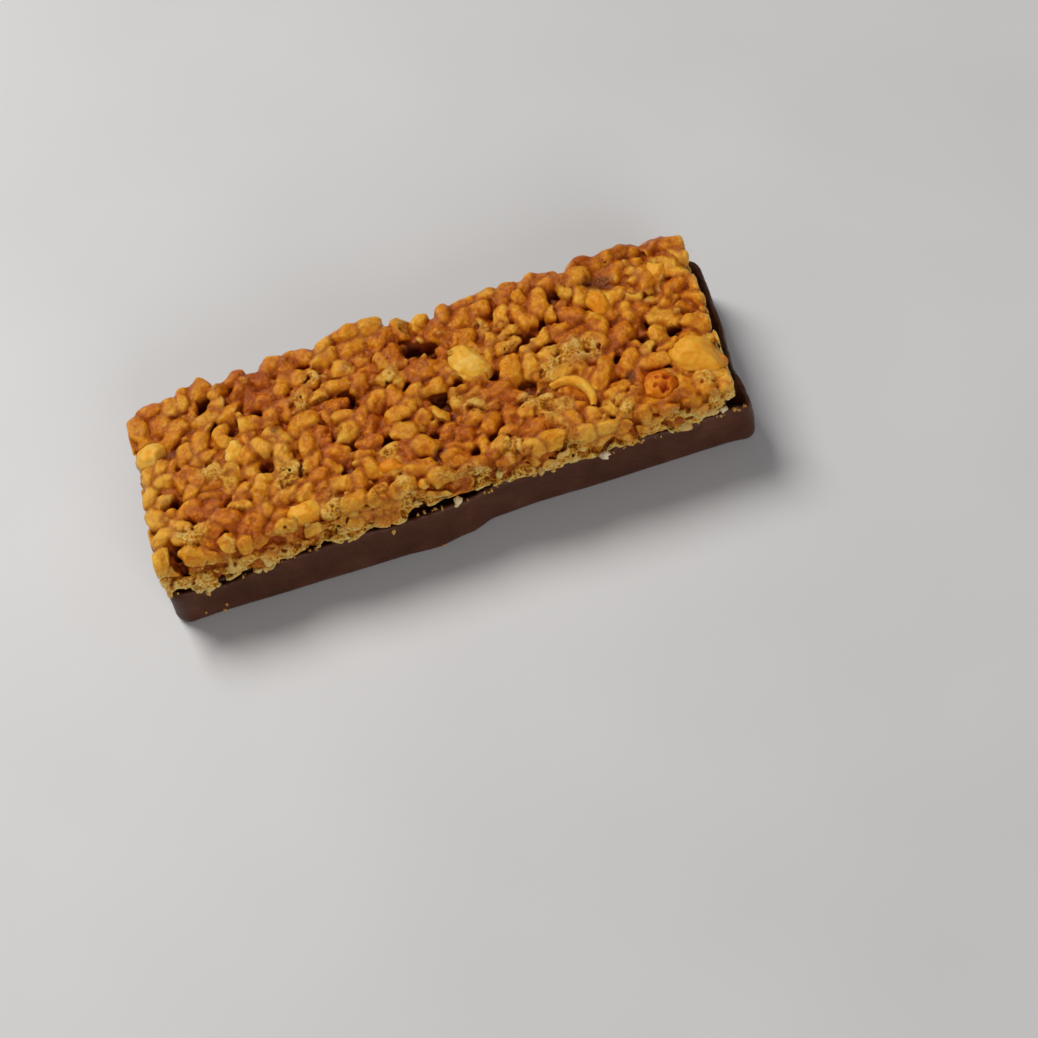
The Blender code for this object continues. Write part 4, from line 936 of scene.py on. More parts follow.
def skin_points(values, cells):
    """One point in each cell, in the middle of the places where its edges cross the surface."""
    total = np.zeros((len(cells), 3))
    hits = np.zeros(len(cells))
    for corner, axis in itertools.product(CELL_CORNERS, range(3)):
        if corner[axis]:
            continue
        start = cells + corner
        end = start.copy()
        end[:, axis] += 1
        a = values[tuple(start.T)]
        b = values[tuple(end.T)]
        crossing = (a < 0) != (b < 0)
        point = np.array(corner, float) + np.zeros((len(cells), 3))
        point[:, axis] += np.where(crossing, a / np.where(crossing, a - b, 1), 0)
        total += point * crossing[:, None]
        hits += crossing
    return GRID_LOW + GRID_STEP * (cells + total / hits[:, None])


def skin_quads(inside, number):
    """A quad round each of the grid's edges that crosses the surface, facing outward."""
    quads = []
    for axis in range(3):
        before = inside.take(range(GRID_SHAPE[axis] - 1), axis)
        after = inside.take(range(1, GRID_SHAPE[axis]), axis)
        edges = np.argwhere(before != after)
        first, second = (axis + 1) % 3, (axis + 2) % 3
        for side in (first, second):
            edges = edges[(edges[:, side] > 0) & (edges[:, side] < GRID_SHAPE[side] - 1)]
        ring = []
        for a, b in ((-1, -1), (0, -1), (0, 0), (-1, 0)):
            cell = edges.copy()
            cell[:, first] += a
            cell[:, second] += b
            ring.append(number[tuple(cell.T)])
        ring = np.stack(ring, axis=1)
        outward = before[tuple(edges.T)]
        quads.append(np.where(outward[:, None], ring, ring[:, ::-1]))
    return np.concatenate(quads)


def pull_to_surface(points, values, rounds):
    """Moves points along the slope of the field until they lie on its zero level."""
    slopes = np.gradient(values, GRID_STEP)
    for _ in range(rounds):
        level = read_grid(values, points)
        slope = np.stack([read_grid(part, points) for part in slopes], axis=1)
        move = level / np.maximum((slope**2).sum(1), 0.05)
        points = points - slope * np.clip(move, -GRID_STEP, GRID_STEP)[:, None] * 0.8
    return points


def without_bubbles(points, quads):
    """Drops the small closed shells that pores leave inside the slab."""
    label = np.arange(len(points))
    while True:
        lowest = label[quads].min(axis=1)
        fresh = label.copy()
        for column in quads.T:
            np.minimum.at(fresh, column, lowest)
        fresh = fresh[fresh]
        if (fresh == label).all():
            break
        label = fresh
    sizes = np.bincount(label, minlength=len(points))
    keep = sizes[label] > SMALLEST_SHELL
    quads = quads[keep[quads[:, 0]]]
    used = np.zeros(len(points), bool)
    used[quads] = True
    renumber = np.cumsum(used) - 1
    return points[used], renumber[quads]


# Meshes

def placed_object(name, mesh, material):
    mesh.materials.append(material)
    made = bpy.data.objects.new(name, mesh)
    bpy.context.scene.collection.objects.link(made)
    return made


def new_object(name, points, faces, material):
    """An object from arrays of points in millimetres and of faces with equally many corners."""
    mesh = bpy.data.meshes.new(name)
    mesh.vertices.add(len(points))
    mesh.vertices.foreach_set("co", (np.asarray(points) * MM).astype(np.float32).ravel())
    corners = faces.shape[1]
    mesh.loops.add(faces.size)
    mesh.loops.foreach_set("vertex_index", faces.astype(np.int32).ravel())
    mesh.polygons.add(len(faces))
    mesh.polygons.foreach_set("loop_start", np.arange(0, faces.size, corners, dtype=np.int32))
    mesh.update(calc_edges=True)
    mesh.shade_smooth()
    return placed_object(name, mesh, material)


def set_values(made, name, values):
    """Gives each point of the mesh a value that its material reads by name."""
    attribute = made.data.attributes.new(name, "FLOAT", "POINT")
    attribute.data.foreach_set("value", np.asarray(values, np.float32))


def bmesh_object(name, bm, material):
    mesh = bpy.data.meshes.new(name)
    bm.to_mesh(mesh)
    bm.free()
    mesh.shade_smooth()
    return placed_object(name, mesh, material)


def ring_quads(number):
    """Quads between the numbered points of rows that close round their first direction."""
    after = np.roll(number, -1, axis=0)
    corners = [number[:, :-1], after[:, :-1], after[:, 1:], number[:, 1:]]
    return np.stack(corners, axis=-1).reshape(-1, 4)


# Materials

def new_material(name):
    made = bpy.data.materials.new(name)
    made.use_nodes = True
    return made, made.node_tree, made.node_tree.nodes["Principled BSDF"]


def set_inputs(node, values):
    for name, value in values.items():
        node.inputs[name].default_value = value


def attribute_node(tree, name):
    node = tree.nodes.new("ShaderNodeAttribute")
    node.attribute_name = name
    return node.outputs["Fac"]


def noise_node(tree, size_mm, detail, roughness=0.55, distortion=0.0):
    """Noise in the object's own space, with features about size_mm wide."""
    place = tree.nodes.new("ShaderNodeTexCoord")
    node = tree.nodes.new("ShaderNodeTexNoise")
    set_inputs(node, {"Scale": 1 / (size_mm * MM), "Detail": detail})
    set_inputs(node, {"Roughness": roughness, "Distortion": distortion})
    tree.links.new(place.outputs["Object"], node.inputs["Vector"])
    return node.outputs["Fac"]


def math_node(tree, operation, *values):
    """A sum on values, each a number or a socket."""
    node = tree.nodes.new("ShaderNodeMath")
    node.operation = operation
    for socket, value in zip(node.inputs, values):
        if isinstance(value, (int, float)):
            socket.default_value = value
        else:
            tree.links.new(value, socket)
    return node.outputs[0]


def with_noise(tree, tone, cloud, share):
    """The tone with a share of a noise value added, which is moved to lie about zero."""
    cloud = math_node(tree, "SUBTRACT", cloud, 0.5)
    return math_node(tree, "ADD", tone, math_node(tree, "MULTIPLY", cloud, share))


def ramp_node(tree, value, stops):
    """A colour ramp from (place, colour) stops."""
    node = tree.nodes.new("ShaderNodeValToRGB")
    ramp = node.color_ramp
    while len(ramp.elements) < len(stops):
        ramp.elements.new(0.5)
    for element, (place, colour) in zip(ramp.elements, stops):
        element.position = place
        element.color = (*colour, 1)
    tree.links.new(value, node.inputs["Fac"])
    return node.outputs["Color"]


def mix_node(tree, share, a, b):
    """A mix of two colours, each a socket or a plain colour: a where the share is 0, b where it is 1."""
    node = tree.nodes.new("ShaderNodeMix")
    node.data_type = "RGBA"
    tree.links.new(share, node.inputs[0])
    for socket, value in ((node.inputs[6], a), (node.inputs[7], b)):
        if isinstance(value, tuple):
            socket.default_value = (*value, 1)
        else:
            tree.links.new(value, socket)
    return node.outputs[2]


def bubble_node(tree, size_mm):
    """Rounded bubbles about size_mm wide, bent by noise: 0 in the middle of each."""
    place = tree.nodes.new("ShaderNodeTexCoord")
    bend = tree.nodes.new("ShaderNodeTexNoise")
    bend.inputs["Scale"].default_value = 0.6 / (size_mm * MM)
    tree.links.new(place.outputs["Object"], bend.inputs["Vector"])
    moved = tree.nodes.new("ShaderNodeVectorMath")
    moved.operation = "MULTIPLY_ADD"
    tree.links.new(bend.outputs["Color"], moved.inputs[0])
    moved.inputs[1].default_value = (size_mm * MM,) * 3
    tree.links.new(place.outputs["Object"], moved.inputs[2])
    node = tree.nodes.new("ShaderNodeTexVoronoi")
    node.feature = "SMOOTH_F1"
    set_inputs(node, {"Scale": 1 / (size_mm * MM), "Smoothness": 0.5})
    tree.links.new(moved.outputs["Vector"], node.inputs["Vector"])
    return node.outputs["Distance"]


def bump_node(tree, height, depth_mm, before=None):
    """Relief this deep for the shading, on top of the relief before it."""
    node = tree.nodes.new("ShaderNodeBump")
    set_inputs(node, {"Strength": 1.0, "Distance": depth_mm * MM})
    tree.links.new(height, node.inputs["Height"])
    if before is not None:
        tree.links.new(before, node.inputs["Normal"])
    return node.outputs["Normal"]


# Colour ramps, each stop a place and a colour
RICE_TONES = (
    (0.0, (0.36, 0.055, 0.001)),
    (0.25, (0.52, 0.115, 0.002)),
    (0.5, (0.70, 0.215, 0.004)),
    (0.75, (0.82, 0.335, 0.012)),
    (1.0, (0.90, 0.465, 0.045)),
)
CUT_TONES = (
    (0.22, (0.24, 0.055, 0.002)),
    (0.42, (0.57, 0.205, 0.006)),
    (0.62, (0.81, 0.43, 0.040)),
    (0.88, (0.90, 0.65, 0.22)),
)
ROAST_TONES = (
    (0.0, (0.62, 0.135, 0.005)),
    (0.4, (0.82, 0.290, 0.012)),
    (0.8, (0.88, 0.44, 0.040)),
    (1.0, (0.90, 0.55, 0.110)),
)
CHOCOLATE_TONES = (
    (0.25, (0.048, 0.014, 0.006)),
    (0.55, (0.076, 0.024, 0.011)),
    (0.8, (0.120, 0.044, 0.021)),
)
CRUMB_COLOURS = (
    (0.0, (0.42, 0.17, 0.025)),
    (0.5, (0.68, 0.38, 0.070)),
    (0.8, (0.84, 0.60, 0.20)),
    (1.0, (0.90, 0.75, 0.48)),
)
FLOOR_TONES = (
    (0.3, (0.63, 0.625, 0.63)),
    (0.7, (0.67, 0.665, 0.67)),
)
# Syrup colour, which also paints shade into the creases
CREASE_SYRUP_AND_SHADE = (0.34, 0.051, 0.001)
# Painted shade in pits and deep places
PIT_SHADE_COLOUR = (0.16, 0.016, 0.001)
# Dark syrup with its painted purple sheen
SYRUP_SHEEN_COLOUR = (0.15, 0.028, 0.012)
# Painted shade at a peanut's foot and in its hollows
PEANUT_SHADE_COLOUR = (0.50, 0.070, 0.004)
AMBER_GLOSS = (1.0, 0.60, 0.22, 1)
BROWN_GLOSS = (1.0, 0.75, 0.65, 1)


def rice_material():
    """Puffed rice: each grain its own tone, syrup and painted shade in the creases, painted shade in
    hollows, pits and deep places, painted light on bumps and bubble middles, a painted sheen on dark syrup
    spots, paler and porous where broken.
    """
    made, tree, shader = new_material("glazed_puffed_rice")
    broad = noise_node(tree, 1.4, 3)
    fine = noise_node(tree, 0.45, 4, 0.6)
    bubbles = bubble_node(tree, 0.75)
    crumb = attribute_node(tree, "crumb")
    tone = math_node(tree, "MULTIPLY_ADD", attribute_node(tree, "tone"), 0.27, 0.78)
    # Painted shade at each bubble's edge, lighter in its middle
    tone = math_node(tree, "SUBTRACT", tone, math_node(tree, "MULTIPLY", bubbles, 0.35))
    tone = with_noise(tree, tone, broad, 0.85)
    tone = with_noise(tree, tone, fine, 0.30)
    # The lump value brings painted light on bumps and painted shade in hollows onto the cut face
    lump = math_node(tree, "MULTIPLY", attribute_node(tree, "lump"), 0.21)
    cut_tone = math_node(tree, "ADD", math_node(tree, "MULTIPLY_ADD", fine, 2.2, -0.62), lump)
    colour = mix_node(tree, crumb, ramp_node(tree, tone, RICE_TONES), ramp_node(tree, cut_tone, CUT_TONES))
    # Mixes in syrup with painted shade in creases, painted shade in pits and deep places, and painted sheen
    # on syrup spots
    for look, tint in (("syrup_and_shade", CREASE_SYRUP_AND_SHADE), ("deep", PIT_SHADE_COLOUR), ("syrup_sheen", SYRUP_SHEEN_COLOUR)):
        colour = mix_node(tree, attribute_node(tree, look), colour, tint)
    tree.links.new(colour, shader.inputs["Base Color"])
    tree.links.new(math_node(tree, "MULTIPLY_ADD", crumb, 0.3, 0.30), shader.inputs["Roughness"])
    set_inputs(shader, {
        "Subsurface Weight": 0.6,
        "Subsurface Radius": (1.0, 0.55, 0.25),
        "Subsurface Scale": 1.2 * MM,
        "Specular IOR Level": 0.45,
        "Specular Tint": AMBER_GLOSS,
        "Coat Weight": 0.12,
        "Coat Roughness": 0.14,
    })
    wrinkled = bump_node(tree, noise_node(tree, 0.8, 4, 0.65, 0.4), 0.34)
    tree.links.new(wrinkled, shader.inputs["Coat Normal"])
    normal = bump_node(tree, math_node(tree, "MULTIPLY", bubbles, -1.0), 0.17, wrinkled)
    normal = bump_node(tree, math_node(tree, "MULTIPLY", fine, crumb), 0.45, normal)
    normal = bump_node(tree, noise_node(tree, 0.25, 3, 0.6), 0.10, normal)
    tree.links.new(normal, shader.inputs["Normal"])
    return made


def peanut_material():
    """Roasted peanut: golden, smooth, mottled, with red painted shade at its foot and in its hollows."""
    made, tree, shader = new_material("roasted_peanut")
    tone = with_noise(tree, attribute_node(tree, "tone"), noise_node(tree, 2.2, 3), 1.3)
    tone = with_noise(tree, tone, noise_node(tree, 0.5, 4, 0.6), 0.35)
    colour = ramp_node(tree, tone, ROAST_TONES)
    colour = mix_node(tree, attribute_node(tree, "foot_and_hollow_shade"), colour, PEANUT_SHADE_COLOUR)
    tree.links.new(colour, shader.inputs["Base Color"])
    set_inputs(shader, {
        "Roughness": 0.42,
        "Subsurface Weight": 0.3,
        "Subsurface Radius": (1.0, 0.45, 0.15),
        "Subsurface Scale": 1.4 * MM,
        "Specular IOR Level": 0.4,
        "Specular Tint": AMBER_GLOSS,
    })
    normal = bump_node(tree, noise_node(tree, 1.1, 3, 0.5), 0.25)
    normal = bump_node(tree, noise_node(tree, 0.28, 3, 0.6), 0.06, normal)
    tree.links.new(normal, shader.inputs["Normal"])
    return made


def chocolate_material():
    """Dark chocolate: semi-gloss, faintly waved and grained, paler and darker in broad random patches."""
    made, tree, shader = new_material("dark_chocolate")
    broad = noise_node(tree, 7.0, 4, 0.6, 0.6)
    tone = with_noise(tree, broad, noise_node(tree, 0.5, 3, 0.6), 0.35)
    tree.links.new(ramp_node(tree, tone, CHOCOLATE_TONES), shader.inputs["Base Color"])
    tree.links.new(math_node(tree, "MULTIPLY_ADD", broad, 0.22, 0.30), shader.inputs["Roughness"])
    set_inputs(shader, {"Specular IOR Level": 0.25, "Specular Tint": BROWN_GLOSS})
    normal = bump_node(tree, noise_node(tree, 4.0, 3, 0.5, 0.5), 0.35)
    normal = bump_node(tree, noise_node(tree, 0.5, 4, 0.65), 0.05, normal)
    tree.links.new(normal, shader.inputs["Normal"])
    return made


def crumb_material():
    """Loose crumbs of puffed rice, from cream to tan."""
    made, tree, shader = new_material("rice_crumb")
    tone = with_noise(tree, attribute_node(tree, "tone"), noise_node(tree, 0.6, 4, 0.6), 0.6)
    tree.links.new(ramp_node(tree, tone, CRUMB_COLOURS), shader.inputs["Base Color"])
    set_inputs(shader, {"Roughness": 0.6, "Subsurface Weight": 0.2, "Subsurface Scale": 0.5 * MM})
    tree.links.new(bump_node(tree, noise_node(tree, 0.2, 3), 0.08), shader.inputs["Normal"])
    return made


def floor_material():
    """A pale, faintly cloudy surface."""
    made, tree, shader = new_material("pale_floor")
    colour = ramp_node(tree, noise_node(tree, 60.0, 2), FLOOR_TONES)
    tree.links.new(colour, shader.inputs["Base Color"])
    shader.inputs["Roughness"].default_value = 0.5
    return made


# Pieces

def build_rice():
    """The glazed top and the side faces of the rice, each one piece."""
    field = rice_field()
    points, quads = grid_skin(field["solid"])
    points = pull_to_surface(points, field["solid"], 2)
    points, quads = without_bubbles(points, quads)
    x, y, z = points[quads].mean(axis=1).T
    low_side = (z < SIDE_PIECE_TOP) & (wall_distance(x, y) < SIDE_PIECE_REACH)
    rim = np.where(y < -14, along(FRONT_RIM, x) - 0.5, RIM_HEIGHT - 1.6)
    seen = z > rim - HIDDEN_DEPTH
    parts = (
        ("rice_top_left", ~low_side & (x < 0)),
        ("rice_top_right", ~low_side & (x >= 0)),
        ("rice_sides", low_side),
    )
    material = rice_material()
    looks = rice_looks(points, field)
    pieces = []
    for name, chosen in parts:
        faces = quads[chosen & seen]
        used = np.unique(faces)
        renumber = np.full(len(points), -1)
        renumber[used] = np.arange(len(used))
        piece = new_object(name, points[used], renumber[faces], material)
        for look, values in looks.items():
            set_values(piece, look, values[used])
        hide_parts("crisp_rice_slab")
        pieces.append(piece)
    return pieces


def wall_distance(x, y):
    """How far a place lies inside the nearest side of the slab."""
    ends = np.minimum(x - CUT_LEFT, right_cut(y) - x)
    return np.minimum(ends, np.minimum(y - CUT_FRONT, CUT_BACK - y))


def nearest_cells(points):
    """The grid point nearest to each point, as three index arrays."""
    cell = np.rint((points - GRID_LOW) / GRID_STEP).astype(int)
    return tuple(np.clip(cell, 0, np.array(GRID_SHAPE) - 1).T)


def rice_looks(points, field):
    """For each point of the rice, the values its colours are made of."""
    x, y, z = points.T
    i, j, k = nearest_cells(points)
    owner = field["owner"][i, j, k]
    depth = TOP_HEIGHT - z
    inner = wall_distance(x, y) > INNER_REACH
    coarse_painted_shading = evened(read_grid(field["coarse_painted_shading"], points))
    fine_painted_shading = evened(read_grid(field["fine_painted_shading"], points))
    crumb = unit(read_grid(field["crumbly"], points) * 1.1)
    tone = 1.4 * np.where(owner >= 0, field["tones"][owner], SYRUP_TONE) - 0.1
    # Painted light on bumps and painted shade in hollows, from the relief. The broad patches are the grains'
    # own tone.
    tone += 0.5 * coarse_painted_shading + 0.25 * fine_painted_shading + 0.45 * read_grid(field["patches"], points)
    # Painted shade: darker with depth under the top, inside the sides
    tone -= 0.7 * rise(depth, 0.5, 1.6) * inner
    # Syrup and painted shade in the creases: darker where the gap to the next grain is narrow, deeper down
    # inside the sides, in wrinkle valleys and in the hollows of the relief
    syrup_and_shade = unit(1 - read_grid(field["gap"], points) / 0.9) ** 1.4 * 0.9
    syrup_and_shade = np.maximum(syrup_and_shade, rise(depth, 0.9, 0.9) * inner * 0.9)
    syrup_and_shade = np.maximum(syrup_and_shade, read_grid(field["valley"], points) * 0.35)
    syrup_and_shade = np.maximum(syrup_and_shade, np.clip(-0.7 * coarse_painted_shading - 0.4 * fine_painted_shading - 0.22, 0, 0.9)) * (1 - 0.75 * crumb)
    # Painted shade, nearly black-red: deep under the top inside the sides, in the gap behind the front cut,
    # and in the pits
    behind = (y > CUT_FRONT + 0.7) & (y < -12) & (depth > 4.5)
    deep = np.maximum(rise(depth, 1.9, 1.6) * inner, unit(y - CUT_FRONT - 0.7) * behind)
    deep = np.maximum(deep, np.clip(1.5 * pit_depth(x, y), 0, 0.85) * rise(depth, 0.7, 0.8))
    # Painted sheen: dark purple-brown spots of syrup
    syrup_sheen = np.zeros(len(points))
    for cx, cy, half_x, half_y in SYRUP_SHEEN_SPOTS:
        away = np.sqrt(((x - cx) / half_x) ** 2 + ((y - cy) / half_y) ** 2)
        syrup_sheen = np.maximum(syrup_sheen, np.clip(1.6 - 1.6 * away, 0, 0.75))
    # The lump value for the cut face: real lumps, with painted light on bumps and painted shade in hollows
    lump = 0.5 * read_grid(field["lumps"], points) + 0.6 * coarse_painted_shading + 0.4 * fine_painted_shading
    return {"tone": tone, "syrup_and_shade": syrup_and_shade, "crumb": crumb, "deep": deep, "syrup_sheen": syrup_sheen, "lump": lump}


def chunk_mesh(seed, size, subdivisions):
    """A peanut piece: a ball with a few flat, cleaved faces, made to size."""
    rng = np.random.default_rng(seed)
    bm = bmesh.new()
    bmesh.ops.create_icosphere(bm, subdivisions=subdivisions, radius=1.0)
    facets = unit_rows(rng.normal(size=(PEANUT_FACETS, 3)))
    depths = rng.uniform(*PEANUT_FACET_DEPTH, PEANUT_FACETS)
    for vert in bm.verts:
        for facet, depth in zip(facets, depths):
            over = vert.co.dot(Vector(facet)) - depth
            if over > 0:
                vert.co -= Vector(facet) * over * PEANUT_CLEAVING
        bump = noise.noise(vert.co * 1.7 + Vector((seed, 0, 0)))
        vert.co += vert.co.normalized() * PEANUT_ROUGHNESS * bump
    all_ways = {"use_axis_x": True, "use_axis_y": True, "use_axis_z": True}
    bmesh.ops.smooth_vert(bm, verts=bm.verts[:], factor=0.5, **all_ways)
    for vert in bm.verts:
        coarse = noise.noise(vert.co * 2.6 + Vector((0, seed, 0)))
        fine = noise.noise(vert.co * 6.5 + Vector((0, seed, 9)))
        vert.co += vert.co.normalized() * (PEANUT_DIMPLES[0] * coarse + PEANUT_DIMPLES[1] * fine)
        vert.co = Vector([c * side * MM / 2 for c, side in zip(vert.co, size)])
    return bm


def sink_hollows(vert):
    """Sinks a point into the hollows of the open peanut; returns how deep it lies in one, which paints shade
    there.
    """
    deepest = 0.0
    for x, y, radius, depth in PEANUT_HOLLOWS:
        away = math.hypot(vert.co.x / MM - x, vert.co.y / MM - y) / radius
        away += 0.55 * noise.noise(vert.co / MM * 1.3)
        if away < 1:
            sink = 1 - away * away
            vert.co.z -= depth * sink * MM
            deepest = max(deepest, min(1.0, sink * 1.6))
    return deepest


def build_peanuts(material):
    """The nine peanut pieces, with red painted shade at the foot and in the hollows."""
    pieces = []
    for index, (name, x, y, z, length, width, thickness, turn) in enumerate(PEANUTS):
        bm = chunk_mesh(100 + index, (PEANUT_SPREAD * length, PEANUT_SPREAD * width, thickness), 5)
        place = Matrix.Translation(Vector((x, y, z)) * MM) @ Matrix.Rotation(math.radians(turn), 4, "Z")
        bmesh.ops.transform(bm, matrix=place, verts=bm.verts[:])
        foot_and_hollow_shade = []
        for vert in bm.verts:
            # Painted shade: redder toward the foot, and in the open peanut's hollows
            foot = (z + PEANUT_FOOT_TOP * thickness - vert.co.z / MM) / (PEANUT_FOOT_FADE * thickness)
            deepest = PEANUT_FOOT_SHADE * min(1.0, max(0.0, foot))
            if name == OPEN_PEANUT and vert.co.z > z * MM:
                deepest = max(deepest, sink_hollows(vert))
            foot_and_hollow_shade.append(deepest)
        piece = bmesh_object(name + "_roasted", bm, material)
        set_values(piece, "tone", np.full(len(foot_and_hollow_shade), PEANUT_TONES[index]))
        set_values(piece, "foot_and_hollow_shade", foot_and_hollow_shade)
        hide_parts(name)
        pieces.append(piece)
    return pieces


def side_shares(normal):
    """How much a wall that faces this way belongs to the front, right, back and left."""
    return tuple(max(0.0, share) ** 2 for share in (-normal.y, normal.x, normal.y, -normal.x))


def base_bulge(point, normal, share):
    """How far the wall stands out of the plain outline, where it takes this share of its bulge."""
    front, right, back, left = side_shares(normal)
    outer = front * along(FRONT_BULGE, point.x) + back * 0.35 * wave(point.x, 4.0)
    outer += left * (LEFT_BULGE + 0.2 * wave(2 * point.y, 1.0))
    return share * outer + min(1.0, share + 0.3) * right * along(RIGHT_BULGE, point.y)


def rim_height(point, normal):
    """How high the chocolate's edge climbs here."""
    front, right, back, left = side_shares(normal)
    return (
        front * along(FRONT_RIM, point.x)
        + right * (RIM_HEIGHT + RIM_WAVES[0] * wave(2 * point.y, 0.5))
        + back * (RIM_HEIGHT + RIM_WAVES[1] * wave(point.x, 2.0))
        + left * (RIM_HEIGHT - LEFT_RIM_DROP + RIM_WAVES[2] * wave(2 * point.y, 3.0))
    )


def base_stations(corner_steps, side_steps, end_steps):
    """(point, outward normal) round the base, counter-clockwise."""
    far_x = BAR_LENGTH / 2 - BASE_CORNER_RADIUS
    far_y = BAR_WIDTH / 2 - BASE_CORNER_RADIUS
    corners = ((far_x, -far_y, -90), (far_x, far_y, 0), (-far_x, far_y, 90), (-far_x, -far_y, 180))
    counts = (end_steps, side_steps, end_steps, side_steps)
    found = []
    for (cx, cy, start), (nx, ny, _), count in zip(corners, corners[1:] + corners[:1], counts):
        for step in range(corner_steps + 1):
            turn = math.radians(start + 90 * step / corner_steps)
            normal = Vector((math.cos(turn), math.sin(turn)))
            found.append((Vector((cx, cy)) + normal * BASE_CORNER_RADIUS, normal))
        begin = found[-1][0]
        end = Vector((nx, ny)) + normal * BASE_CORNER_RADIUS
        for step in range(1, count):
            found.append((begin.lerp(end, step / count), normal))
    return found


# Outline of the chocolate's wall: inset, height, share of the bulge. Heights are from the
# underside in the wall's profile, and from the rim in the lip's. Dents: strength, and how fast
# they change along the wall and upward.
WALL_PROFILE = (
    (1.6, 0.0, 1.0), (1.0, 0.0, 1.0), (0.7, 0.03, 1.0), (0.44, 0.12, 1.0), (0.24, 0.28, 1.0),
    (0.1, 0.5, 1.0), (0.03, 0.85, 1.0), (0.0, 1.3, 1.0),
)
WALL_STEPS = 12
BROAD_DENTS = (0.16, 0.16, 0.22)
FINE_DENTS = (0.05, 0.6, 0.7)
LIP_PROFILE = (
    (0.12, -1.6, 0.6), (0.16, -1.1, 0.6), (0.25, -0.7, 0.6), (0.36, -0.38, 0.6), (0.5, -0.15, 0.6),
    (0.68, -0.02, 0.6), (0.85, 0.0, 0.6), (1.05, -0.08, 0.6), (1.25, -0.25, 0.6), (1.42, -0.6, 0.6),
)


def wall_outline(rim, thickness):
    """The outline of the wall where its rim is this high, from the underside to the tray's floor."""
    outline = list(WALL_PROFILE)
    foot = WALL_PROFILE[-1][1]
    top = rim + LIP_PROFILE[0][1]
    for step in range(1, WALL_STEPS):
        t = step / WALL_STEPS
        outline.append((0.12 * t, foot + (top - foot) * t, 1.0 - 0.4 * t))
    outline += [(inset, rim + z, share) for inset, z, share in LIP_PROFILE]
    return outline + [(thickness, rim - 1.2, 0.0), (thickness, FLOOR_HEIGHT, 0.0)]


def chocolate_column(point, normal):
    """The points of the wall, one above the other, at this place of the base."""
    rim = rim_height(point, normal)
    for strength, pace, seed in RIM_RAGGEDNESS:
        rim += strength * noise.noise(Vector((point.x * pace, point.y * pace, seed)))
    column = []
    for inset, z, share in wall_outline(rim, RIM_THICKNESS + END_RIM_EXTRA * side_shares(normal)[1]):
        place = point + normal * (base_bulge(point, normal, share) - inset)
        dent = 0.0
        for strength, pace, upward in (BROAD_DENTS, FINE_DENTS):
            dent += strength * noise.noise(Vector((place.x * pace, place.y * pace, z * upward)))
        dent *= min(1.0, z / 2.0) if inset < RIM_THICKNESS else 0.0
        column.append((place.x + normal.x * dent, place.y + normal.y * dent, z))
    return column


def build_chocolate(material):
    """The chocolate base, finely divided, with soft waves in its wall and a ragged upper edge."""
    points = np.array([chocolate_column(point, normal) for point, normal in base_stations(8, 200, 70)])
    number = np.arange(points[..., 0].size).reshape(points.shape[:2])
    piece = new_object("chocolate_shell", points.reshape(-1, 3), ring_quads(number), material)
    bm = bmesh.new()
    bm.from_mesh(piece.data)
    bm.verts.ensure_lookup_table()
    bm.faces.new([bm.verts[i] for i in number[::-1, 0]])
    bm.faces.new([bm.verts[i] for i in number[:, -1]])
    bmesh.ops.recalc_face_normals(bm, faces=bm.faces[:])
    bm.to_mesh(piece.data)
    bm.free()
    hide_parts("chocolate_base")
    return piece


# The split skin: its middle, its radius, where it starts and how far it turns, its thickness
STRIP_PLACE = (20.7, -9.5)
STRIP_RADIUS = 4.75
STRIP_TURN = (103, -122)
STRIP_THICKNESS = 0.95
STRIP_STEPS = 60
STRIP_SIDES = 14


def build_crescent(material):
    """The golden rim of a split peanut skin that stands on edge among the grains."""
    rings = []
    for step in range(STRIP_STEPS + 1):
        t = step / STRIP_STEPS
        turn = math.radians(STRIP_TURN[0] + STRIP_TURN[1] * t)
        radius = STRIP_RADIUS + 0.3 * math.sin(3 * t)
        thick = STRIP_THICKNESS * math.sin(math.pi * (0.06 + 0.9 * t)) ** 0.45
        centre = Vector((*STRIP_PLACE, TOP_HEIGHT - 0.6 - 0.6 * abs(t - 0.45)))
        out = Vector((math.cos(turn), math.sin(turn), 0))
        ring = []
        for side in range(STRIP_SIDES):
            angle = 2 * math.pi * side / STRIP_SIDES
            wobble = 1 + 0.08 * noise.noise(Vector((t * 14, side * 0.6, 0)))
            point = centre + out * (radius + thick * math.cos(angle) * wobble)
            ring.append(point + Vector((0, 0, 1)) * 1.1 * thick * math.sin(angle) * wobble)
        rings.append(ring)
    points = np.array([tuple(point) for ring in rings for point in ring])
    number = np.arange(len(points)).reshape(-1, STRIP_SIDES)
    piece = new_object("split_skin_rim", points, ring_quads(number.T), material)
    set_values(piece, "tone", np.full(len(points), 0.7))
    set_values(piece, "foot_and_hollow_shade", np.zeros(len(points)))
    return piece


def add_crumb(bm, number, place, sides):
    """One lumpy crumb; returns how many points it has."""
    made = bmesh.ops.create_icosphere(bm, subdivisions=2, radius=1.0)["verts"]
    for vert in made:
        lump = 1 + 0.8 * noise.noise(vert.co * 1.8 + Vector((number, 0, 0)))
        vert.co = Vector([(c * lump * side + at) * MM for c, side, at in zip(vert.co, sides, place)])
    return len(made)


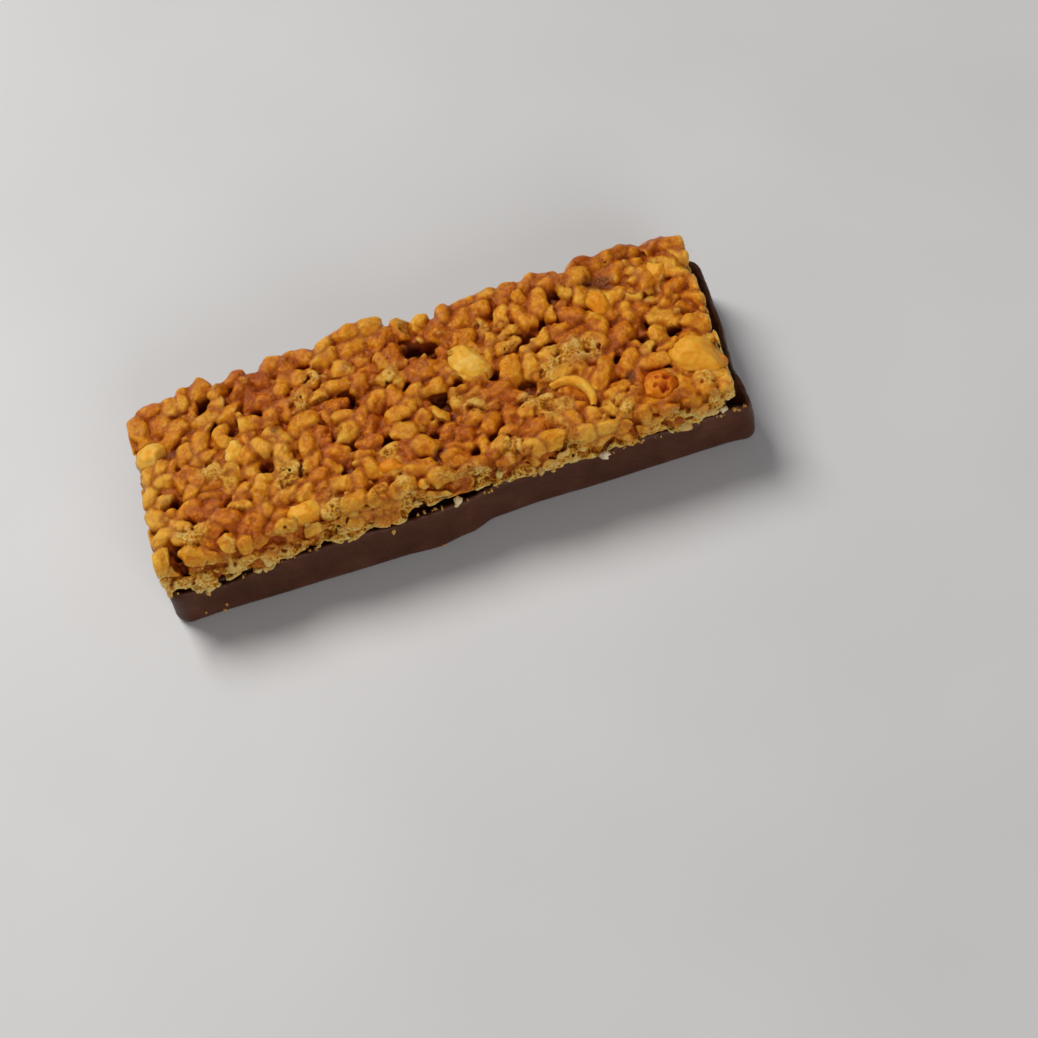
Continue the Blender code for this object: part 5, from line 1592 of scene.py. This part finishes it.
def build_crumbs(material):
    """Small crumbs along the chocolate's edge and a few on its front, as one mesh."""
    rng = np.random.default_rng(77)
    bm = bmesh.new()
    tones = []
    for number in range(EDGE_CRUMBS):
        x = rng.uniform(*EDGE_CRUMB_X)
        y = EDGE_CRUMB_Y - rng.uniform(*EDGE_CRUMB_OUT)
        z = along(FRONT_RIM, x) + rng.uniform(*EDGE_CRUMB_RISE)
        sides = rng.uniform(*EDGE_CRUMB_SIZES) * rng.uniform(*EDGE_CRUMB_STRETCH, 3)
        tones += [rng.uniform(*EDGE_CRUMB_TONES)] * add_crumb(bm, number, (x, y, z), sides)
    for number, (x, y, z, half_x, half_z, tone) in enumerate(PLACED_CRUMBS):
        sides = (half_x, (half_x + half_z) / 2, half_z)
        tones += [tone] * add_crumb(bm, EDGE_CRUMBS + number, (x, y, z), sides)
    piece = bmesh_object("edge_crumbs", bm, material)
    set_values(piece, "tone", tones)
    return piece


# Scene

def add_floor():
    bm = bmesh.new()
    bmesh.ops.create_grid(bm, x_segments=2, y_segments=2, size=FLOOR_HALF)
    floor = bmesh_object("pale_floor", bm, floor_material())


def add_light(name, place, size, energy, colour):
    data = bpy.data.lights.new(name, "AREA")
    data.shape = "DISK"
    data.size = size
    data.energy = energy
    data.color = colour
    lamp = bpy.data.objects.new(name, data)
    lamp.location = place
    lamp.rotation_euler = (-Vector(place)).to_track_quat("-Z", "Y").to_euler()
    bpy.context.scene.collection.objects.link(lamp)


def add_lights():
    add_light("key", *KEY_LIGHT)
    add_light("fill", *FILL_LIGHT)
    world = bpy.data.worlds.new("studio")
    world.use_nodes = True
    background = world.node_tree.nodes["Background"]
    set_inputs(background, {"Color": (1.0, 1.0, 1.0, 1), "Strength": SKY_STRENGTH})
    bpy.context.scene.world = world


def add_camera():
    view = Vector(CAMERA_VIEW).normalized()
    up = Vector(CAMERA_UP).normalized()
    side = view.cross(up).normalized()
    up = side.cross(view)
    data = bpy.data.cameras.new("camera")
    data.lens = CAMERA_LENS
    data.sensor_width = 36.0
    data.clip_start = 0.01
    camera = bpy.data.objects.new("camera", data)
    turn = Matrix((side, up, -view)).transposed().to_4x4()
    camera.matrix_world = Matrix.Translation(Vector(CAMERA_PLACE) * MM) @ turn
    bpy.context.scene.collection.objects.link(camera)
    bpy.context.scene.camera = camera


def main():
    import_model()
    pieces = [(piece, "crisp_rice") for piece in build_rice()]
    peanut = peanut_material()
    pieces += [(piece, "peanut") for piece in build_peanuts(peanut)]
    pieces.append((build_crescent(peanut), "peanut"))
    pieces.append((build_chocolate(chocolate_material()), "chocolate"))
    pieces.append((build_crumbs(crumb_material()), "crisp_rice"))
    for piece, slot in pieces:
        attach(piece, "root")
    add_floor()
    add_lights()
    add_camera()
    bpy.context.scene.view_settings.view_transform = "Standard"


main()
